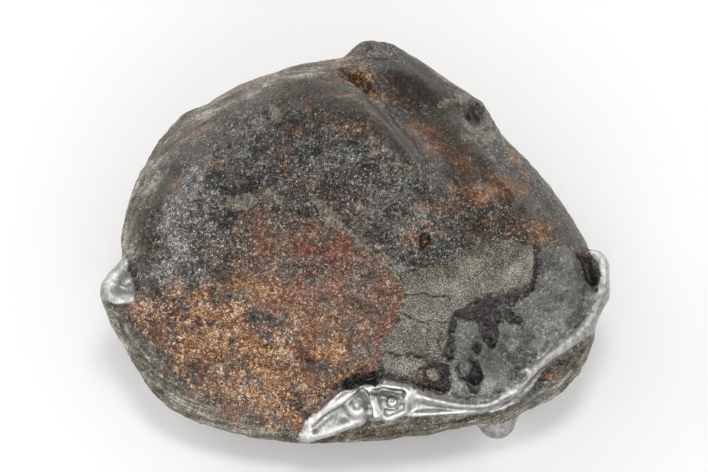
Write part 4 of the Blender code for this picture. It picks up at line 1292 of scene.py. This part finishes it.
class Grains:
    """The noises that the finishes share, and the ragged edges made of them, in millimetres."""

    def __init__(self, s: Shader) -> None:
        """Adds the noises to a material.

        Args:
            s: The material's shader.
        """
        self.fine = s.noise(0.11, 1.0, 0.8)
        self.grain = s.noise(0.50, 3.0, 0.7, 11.0)
        self.patchy = s.noise(2.2, 4.0, 0.65, 23.0)
        self.broad = s.noise(6.0, 3.0, 0.55, 37.0)
        self.hue = s.noise(1.3, 3.0, 0.6, 91.0)
        self.clast = s.cells(1.9, "Color", warp=1.3)
        flake = s.cells(0.20, "Color", warp=0.2)
        # Fine grains and coarser clumps, then flat flakes, of which a few are pale: partly real pale grains,
        # partly painted glints
        glint = s.math("POWER", s.channel(flake, 2), 7.0)
        self.grit = (self.fine - 0.5) * 2.2 + 0.5 + (self.grain - 0.5) * 0.95
        self.grit = self.grit + (s.channel(flake, 0) - 0.5) * 0.40 + (glint * 0.6 - 0.08)
        self.soft_grit = (self.grit - 0.5) * 0.6 + 0.5
        self.lumpy = self.grit + (s.channel(self.clast, 0) - 0.5) * 0.22 + (self.patchy - 0.5) * 0.7
        self.edge = (self.grain - 0.5) * 1.6
        self.wide_edge = (self.patchy - 0.5) * 6.0
        self.clast_edge = self.wide_edge + (s.channel(self.clast, 1) - 0.5) * 1.4


@dataclass
class StoneFinish:
    """The stone's material: all its finishes, each laid over those before it where its attribute says.

    Each palette runs from a finish's dark grains to its pale ones, as they look under the studio's lights.
    """

    crust: Palette = shades(90, 86, 78)
    moss: Palette = shades(80, 79, 68)
    umber: Palette = shades(112, 84, 66)
    night: Palette = shades(86, 85, 84, 1.1)
    # Painted sheen and glints on the left
    crust_sheen: Palette = shades(118, 114, 109, 1.3)
    plum: Palette = shades(97, 87, 81)
    calm: Palette = shades(88, 84, 78, 0.6)
    # Painted sheen along the rims
    rim_sheen: Palette = shades(130, 123, 109, 1.1)
    rust: Palette = shades(106, 88, 75)
    ember: Palette = shades(142, 100, 66)
    gold: Palette = shades(130, 105, 84, 1.5)
    bright: Palette = shades(154, 112, 70, 1.4)
    brick: Palette = shades(136, 92, 70)
    straw: Palette = shades(160, 142, 112, 1.3)
    olivine: Palette = shades(124, 96, 80)
    dull_olivine: Palette = shades(110, 97, 87)
    khaki: Palette = shades(101, 96, 83, 1.15)
    # The dark seam and pits, and painted shade in the surface's dips
    dark_pit_and_shade: Palette = shades(60, 51, 47, 0.7)
    pale: Palette = shades(140, 133, 119, 0.8)
    blue: Palette = shades(113, 113, 108, 0.9)
    # Painted sheen on the blue plate near the lip
    blue_sheen: Palette = shades(150, 150, 145)
    # Bare metal in its dips and on its ridges, the ridges painted lighter as a highlight: a lit copy, and a
    # copy in painted shade
    lit_metal: tuple[Colour, Colour] = ((0.21, 0.207, 0.198), (0.52, 0.513, 0.494))
    shaded_metal: tuple[Colour, Colour] = ((0.12, 0.119, 0.114), (0.34, 0.336, 0.322))
    # Specks: partly pale grains, partly painted glints
    silver_glint_and_grain: Colour = (0.66, 0.64, 0.59)
    gold_glint_and_grain: Colour = (0.74, 0.62, 0.46)
    shader: Shader = field(default_factory=lambda: Shader("stone_finish"))
    covers: dict[Finish, Signal] = field(default_factory=dict)      # where each finish shows, from 0 to 1

    def build(self) -> bpy.types.Material:
        """Makes the material.

        Returns:
            The material.
        """
        self.grains = Grains(self.shader)
        self.lay_crust()
        self.lay_streaked_rim_sheen()
        self.lay_rust()
        self.lay_gold()
        self.lay_olivine()
        self.lay_glints_and_grains()
        self.lay_plates()
        self.lay_bare_metal()
        self.lay_dark_pits_and_hollow_shade()
        self.set_surface()
        return self.shader.material

    def inside(self, finish: Finish) -> Signal:
        """Returns how far inside the patches of a finish the surface lies, in millimetres."""
        return self.shader.attribute(finish.value)

    def cover(self, finish: Finish, ragged: Signal, soft: float) -> Signal:
        """Works out where a finish shows.

        Args:
            finish: The finish.
            ragged: How far its edge wanders, in millimetres.
            soft: How far its edge spreads to each side.

        Returns:
            1 inside its patches and 0 outside.
        """
        self.covers[finish] = self.shader.step(self.inside(finish) + ragged, -soft, soft)
        return self.covers[finish]

    def tint(self, share: Signal, value: Signal, palette: Palette) -> None:
        """Lays a palette over the colour so far.

        Args:
            share: Where and how strongly.
            value: Which of its colours: 0 for its first, 1 for its last.
            palette: The palette.
        """
        self.colour = self.shader.mix(share, self.colour, self.shader.ramp(value, palette))

    def lay_crust(self) -> None:
        """Lays the dark crust with its purple, blue-black, smooth and stained parts, and a lighter patch of
        painted sheen and glints.
        """
        s, g = self.shader, self.grains
        self.colour = s.ramp(g.lumpy, self.crust)
        self.tint(s.step(g.hue, 0.47, 0.36) * 0.9, g.lumpy, self.moss)
        self.tint(s.step(g.hue, 0.55, 0.66) * 0.8, g.lumpy, self.umber)
        self.tint(self.cover(Finish.PLUM, g.clast_edge, 1.3), g.lumpy, self.plum)
        night = s.largest(self.cover(Finish.NIGHT, g.clast_edge, 1.2), s.step(g.broad, 0.56, 0.68))
        self.covers[Finish.NIGHT] = night
        self.tint(night * 0.8, g.lumpy, self.night)
        # Painted sheen and glints: a lighter palette on the left
        self.tint(self.cover(Finish.SHEEN_GLINTS, g.clast_edge, 1.2) * 0.9, g.lumpy, self.crust_sheen)
        calm = self.cover(Finish.SMOOTH, g.wide_edge, 1.0)
        shaded = g.soft_grit + s.step(self.inside(Finish.NIGHT) + g.edge, -0.8, 0.8) * -0.28
        tone = s.mix(s.step(g.hue, 0.50, 0.66) * 0.7, s.ramp(shaded, self.calm), s.ramp(shaded, self.umber))
        self.colour = s.mix(calm, self.colour, tone)
        stained = s.step(s.channel(g.clast, 2), 0.72, 1.0) * (0.75 - calm)
        self.tint(s.largest(stained, 0.0), g.lumpy, self.rust)

    def lay_streaked_rim_sheen(self) -> None:
        """Lays a lighter band along the rims: painted sheen, streaked along them."""
        s, g = self.shader, self.grains
        streaks = s.noise(0.35, 3.0, 0.7, 33.0, (0.16, 0.16, 0.16), self.inside(Finish.RIM_SHEEN))
        grit = (streaks - 0.5) * 2.4 + g.soft_grit + (g.patchy - 0.5) * 1.2
        # Painted sheen: a lighter palette in streaks along the rims
        self.tint(self.cover(Finish.RIM_SHEEN, g.wide_edge * 0.4, 0.9) * 0.9, grit, self.rim_sheen)

    def lay_rust(self) -> None:
        """Lays the rust, which is vivid in the middle of its patches and even on smooth crust."""
        s, g = self.shader, self.grains
        grit = s.blend(self.covers[Finish.SMOOTH], g.lumpy, (g.patchy - 0.5) * 0.9 + g.soft_grit)
        edge = g.wide_edge * 0.3 + g.edge
        self.tint(self.cover(Finish.RUST, edge, 0.7) * 0.9, grit, self.rust)
        vivid = s.step(self.inside(Finish.RUST) + edge, 0.1, 0.9) * 0.8
        self.tint(vivid * s.step(g.hue, 0.34, 0.52), grit, self.ember)

    def lay_gold(self) -> None:
        """Lays the golden, granular crust, a mix of many hues."""
        s, g = self.shader, self.grains
        bright = self.cover(Finish.BRIGHT, g.clast_edge, 1.2)
        under, self.colour = self.colour, s.ramp(g.lumpy, self.gold)
        self.tint(s.step(s.noise(2.6, 3.0, 0.6, 61.0), 0.46, 0.60), g.lumpy, self.brick)
        self.tint(s.step(bright * 0.08 + g.hue, 0.50, 0.60), g.lumpy, self.bright)
        self.tint(s.step(g.hue, 0.46, 0.38) * 0.9, g.lumpy, self.umber)
        self.tint(s.step(g.patchy, 0.44, 0.36) * 0.8, g.lumpy, self.plum)
        self.tint(s.step(s.noise(0.7, 3.0, 0.7, 95.0), 0.60, 0.72), g.lumpy, self.straw)
        self.colour = s.mix(self.cover(Finish.GOLD, g.clast_edge, 1.0), under, self.colour)

    def lay_olivine(self) -> None:
        """Lays the olivines, brick-red and brown in turn, and the brightest spots of the golden crust."""
        s, g = self.shader, self.grains
        under, self.colour = self.colour, s.ramp(g.grit, self.olivine)
        self.tint(s.step(s.noise(4.0, 3.0, 0.6, 75.0), 0.46, 0.60), g.grit, self.brick)
        self.tint(s.step(s.noise(3.2, 3.0, 0.6, 71.0), 0.44, 0.60), g.grit, self.dull_olivine)
        self.colour = s.mix(self.cover(Finish.OLIVINE, g.edge, 0.30), under, self.colour)
        self.tint(self.covers[Finish.BRIGHT] * 0.75, g.lumpy, self.bright)

    def lay_glints_and_grains(self) -> None:
        """Lays silver and golden specks, partly pale grains and partly painted glints, and the pale veins."""
        s, g, covers = self.shader, self.grains, self.covers
        point = s.step(s.cells(0.26, "Distance"), 0.32, 0.16)
        chosen = s.channel(s.cells(0.26, "Color"), 0)
        share = s.step(s.noise(1.8, 3.0, 0.6, 99.0), 0.48, 0.68) * 0.16 + 0.01
        share = share + s.largest(covers[Finish.NIGHT], covers[Finish.GOLD]) * 0.03
        share = share + covers[Finish.SHEEN_GLINTS] * 0.16
        still = s.largest(covers[Finish.SMOOTH], covers[Finish.RIM_SHEEN])
        # Small specks, partly pale grains and partly painted glints, fewest on smooth crust and rim sheen
        self.glints_and_grains = point * s.math("LESS_THAN", chosen, share) * (0.85 - still * 0.75)
        golden = s.largest(covers[Finish.GOLD], covers[Finish.OLIVINE])
        self.colour = s.mix(self.glints_and_grains, self.colour, s.mix(golden, self.silver_glint_and_grain, self.gold_glint_and_grain))
        self.tint(s.step(s.attribute("vein") + g.edge * 0.35, 0.16, 0.04) * 0.75, g.grit, self.pale)

    def lay_plates(self) -> None:
        """Lays the brushed khaki plate, the blue-grey plate with a painted sheen near the lip, and pale
        flecks.
        """
        s, g = self.shader, self.grains
        brushed = s.noise(0.16, 2.0, 0.8, 81.0, (1.0, 2.6, 1.6))
        grit = (brushed - 0.5) * 4.2 + 0.52 + (g.patchy - 0.5) * 1.2
        self.tint(self.cover(Finish.KHAKI, g.edge, 0.12), grit, self.khaki)
        grit = g.soft_grit + (g.patchy - 0.5) * 0.8
        # Painted sheen: the plate turns lighter near the lip, in patches
        near_lip = s.step(self.inside(Finish.METAL), -3.0, -0.4) * s.step(g.patchy, 0.40, 0.58)
        blue = s.mix(near_lip * 0.7, s.ramp(grit, self.blue), s.ramp(grit, self.blue_sheen))
        self.colour = s.mix(self.cover(Finish.BLUE, g.edge, 0.12), self.colour, blue)
        fleck = self.cover(Finish.PALE, g.edge, 0.15) * s.step(g.grit, 0.0, 0.35)
        self.tint(fleck * 0.9, g.soft_grit, self.pale)

    def lay_bare_metal(self) -> None:
        """Lays bare metal: painted highlight on ridges, painted shade in dips and by the blue plate, dark
        crust and rim sheen.
        """
        s, g = self.shader, self.grains
        # Painted highlight on the ridges and painted shade in the dips, mixed with random grain
        ridge_highlight = s.step(s.attribute("hollow") * -0.25 + (g.grain * 1.6 - 0.35), 0.1, 0.9)
        # Painted shade: a darker copy of the metal beside the blue plate, the dark crust and the rim sheen
        shaded_metal = s.step(self.inside(Finish.BLUE), -1.8, -0.6)
        shaded_metal = s.largest(shaded_metal, s.step(self.inside(Finish.NIGHT), -2.6, -1.0))
        shaded_metal = s.largest(shaded_metal, s.step(self.inside(Finish.RIM_SHEEN), -1.2, 0.0) * 0.6)
        metal = s.mix(shaded_metal, s.mix(ridge_highlight, *self.lit_metal), s.mix(ridge_highlight, *self.shaded_metal))
        shown = self.cover(Finish.METAL, g.edge * 0.4, 0.10) * s.step(self.inside(Finish.BLUE), 0.45, -0.05)
        shown = shown * s.step(self.inside(Finish.NIGHT), 0.15, -0.10)
        self.covers[Finish.METAL] = shown
        self.colour = s.mix(shown, self.colour, metal)

    def lay_dark_pits_and_hollow_shade(self) -> None:
        """Lays the dark seam, pits and cracks, which hide the metal under them, and painted shade in the
        surface's dips.
        """
        s, g, covers = self.shader, self.grains, self.covers
        dark = self.cover(Finish.DARK, g.edge * 1.9, 0.16) * s.step(self.inside(Finish.KHAKI), 0.15, -0.05)
        crack = s.step(s.attribute("crack") + g.edge * 0.22, 0.11, 0.03)
        dark = s.largest(dark, crack * 0.85)
        spared_from_shade = s.largest(covers[Finish.METAL], covers[Finish.BRIGHT] * 0.8)
        # Painted shade in the surface's dips, kept off the bare metal and the brightest gold
        hollow = s.step(s.attribute("hollow"), 0.2, 1.0) * 0.5 * (1.0 - spared_from_shade)
        self.tint(s.largest(dark, hollow), g.lumpy, self.dark_pit_and_shade)
        covers[Finish.DARK] = dark
        for finish in (Finish.METAL, Finish.BLUE):
            covers[finish] = covers[finish] * (1.0 - dark)

    def set_surface(self) -> None:
        """Sets the metal's share, the gloss and the bumps, and plugs the colour in."""
        s, g, covers = self.shader, self.grains, self.covers
        plates = s.largest(covers[Finish.KHAKI], covers[Finish.BLUE])
        roughness = s.blend(s.step(g.fine, 0.35, 0.7), 0.66, 0.42)
        roughness = s.blend(plates, roughness, 0.42)
        roughness = s.blend(covers[Finish.METAL], roughness, s.blend(s.step(g.grain, 0.35, 0.65), 0.44, 0.34))
        roughness = s.blend(self.glints_and_grains, roughness, 0.35)
        polish = s.largest(covers[Finish.METAL], covers[Finish.SMOOTH] * 0.8)
        polish = s.largest(polish, plates * 0.7)
        sockets = s.principled.inputs
        s.plug(sockets["Base Color"], self.colour)
        s.plug(sockets["Metallic"], s.largest(covers[Finish.METAL], covers[Finish.BLUE] * 0.35))
        s.plug(sockets["Roughness"], s.blend(covers[Finish.DARK], roughness, 0.6))
        s.plug(sockets["Normal"], s.bump(g.lumpy * s.blend(polish, 1.0, 0.08), 0.9, 0.08))
        sockets["Specular IOR Level"].default_value = 0.2
        sockets["Coat Weight"].default_value = 0.3
        sockets["Coat Roughness"].default_value = 0.2


@dataclass
class Studio:
    """Floor, lights and camera. Lengths are metres."""

    view: FrontView = field(default_factory=FrontView)
    sensor: float = 36.0
    view_width: float = 0.0708          # what the photograph's frame spans at the core
    floor_size: float = 6.0
    floor_colour: Colour = (0.86, 0.86, 0.855)
    sky_low: float = 2.90               # brightness of the room near the floor
    sky_high: float = 0.22              # and overhead
    sky_change: tuple[float, float] = (0.15, 0.75)      # between these sines of the elevation
    floor_roughness: float = 0.9
    lights_aim: tuple[float, float, float] = (0.0, 0.0, 0.012)
    # Name, place, diameter and power in watts
    lights: tuple[tuple[str, tuple[float, float, float], float, float], ...] = (
        ("overhead", (0.03, 0.06, 0.60), 0.20, 1.0),
        ("window", (-0.50, 0.34, 0.34), 0.34, 0.8),
        ("front", (0.05, -0.66, 0.20), 0.80, 2.6),
    )

    def build(self) -> None:
        """Makes the studio."""
        self.make_floor()
        for name, place, size, power in self.lights:
            self.make_light(name, Vector(place), size, power)
        self.make_camera()
        world = bpy.data.worlds.new("studio")
        world.use_nodes = True
        nodes, links = world.node_tree.nodes, world.node_tree.links
        coordinates = nodes.new("ShaderNodeTexCoord")
        split = nodes.new("ShaderNodeSeparateXYZ")
        height = nodes.new("ShaderNodeMapRange")
        height.interpolation_type = "SMOOTHSTEP"
        height.inputs["From Min"].default_value = self.sky_change[0]
        height.inputs["From Max"].default_value = self.sky_change[1]
        height.inputs["To Min"].default_value = self.sky_low
        height.inputs["To Max"].default_value = self.sky_high
        links.new(coordinates.outputs["Generated"], split.inputs[0])
        links.new(split.outputs["Z"], height.inputs["Value"])
        background = nodes["Background"]
        background.inputs["Color"].default_value = (1.0, 1.0, 1.0, 1.0)
        links.new(height.outputs["Result"], background.inputs["Strength"])
        bpy.context.scene.world = world
        bpy.context.scene.view_settings.view_transform = "Standard"

    def make_floor(self) -> None:
        """Lays the pale floor at z = 0."""
        mesh = bpy.data.meshes.new("floor")
        work = bmesh.new()
        bmesh.ops.create_grid(work, x_segments=1, y_segments=1, size=self.floor_size / 2)
        work.to_mesh(mesh)
        work.free()
        floor = bpy.data.objects.new("floor", mesh)
        bpy.context.scene.collection.objects.link(floor)
        shader = Shader("floor_finish")
        shader.principled.inputs["Base Color"].default_value = (*self.floor_colour, 1.0)
        shader.principled.inputs["Roughness"].default_value = self.floor_roughness
        mesh.materials.append(shader.material)

    def make_light(self, name: str, place: Vector, size: float, power: float) -> None:
        """Hangs a round soft light that points at the stone.

        Args:
            name: Its name.
            place: Where it is.
            size: Its diameter.
            power: Its power in watts.
        """
        light = bpy.data.lights.new(name, "AREA")
        light.shape = "DISK"
        light.size = size
        light.energy = power
        lamp = bpy.data.objects.new(name, light)
        lamp.location = place
        lamp.rotation_euler = (place - Vector(self.lights_aim)).to_track_quat("Z", "Y").to_euler()
        bpy.context.scene.collection.objects.link(lamp)

    def make_camera(self) -> None:
        """Puts the camera at the eye of the front view."""
        data = bpy.data.cameras.new("camera")
        data.sensor_width = self.sensor
        distance = self.view.distance * MM
        data.lens = self.sensor * distance / self.view_width
        data.clip_start = 0.01
        camera = bpy.data.objects.new("camera", data)
        camera.location = self.view.eye * MM
        camera.rotation_euler = Matrix(self.view.axes).transposed().to_euler()
        bpy.context.scene.collection.objects.link(camera)
        bpy.context.scene.camera = camera


def main() -> None:
    """Builds the studio and the stone, and reports each piece."""
    logging.basicConfig(level=logging.INFO, format="%(message)s")
    Studio().build()
    stone = StoneSkin().build()
    stone.data.materials.append(StoneFinish().build())
    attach(stone, BODY)
    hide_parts(NODE)
    LOG.info("stone: rides on %s in place of %s", BODY, NODE)


if __name__ == "__main__":
    main()
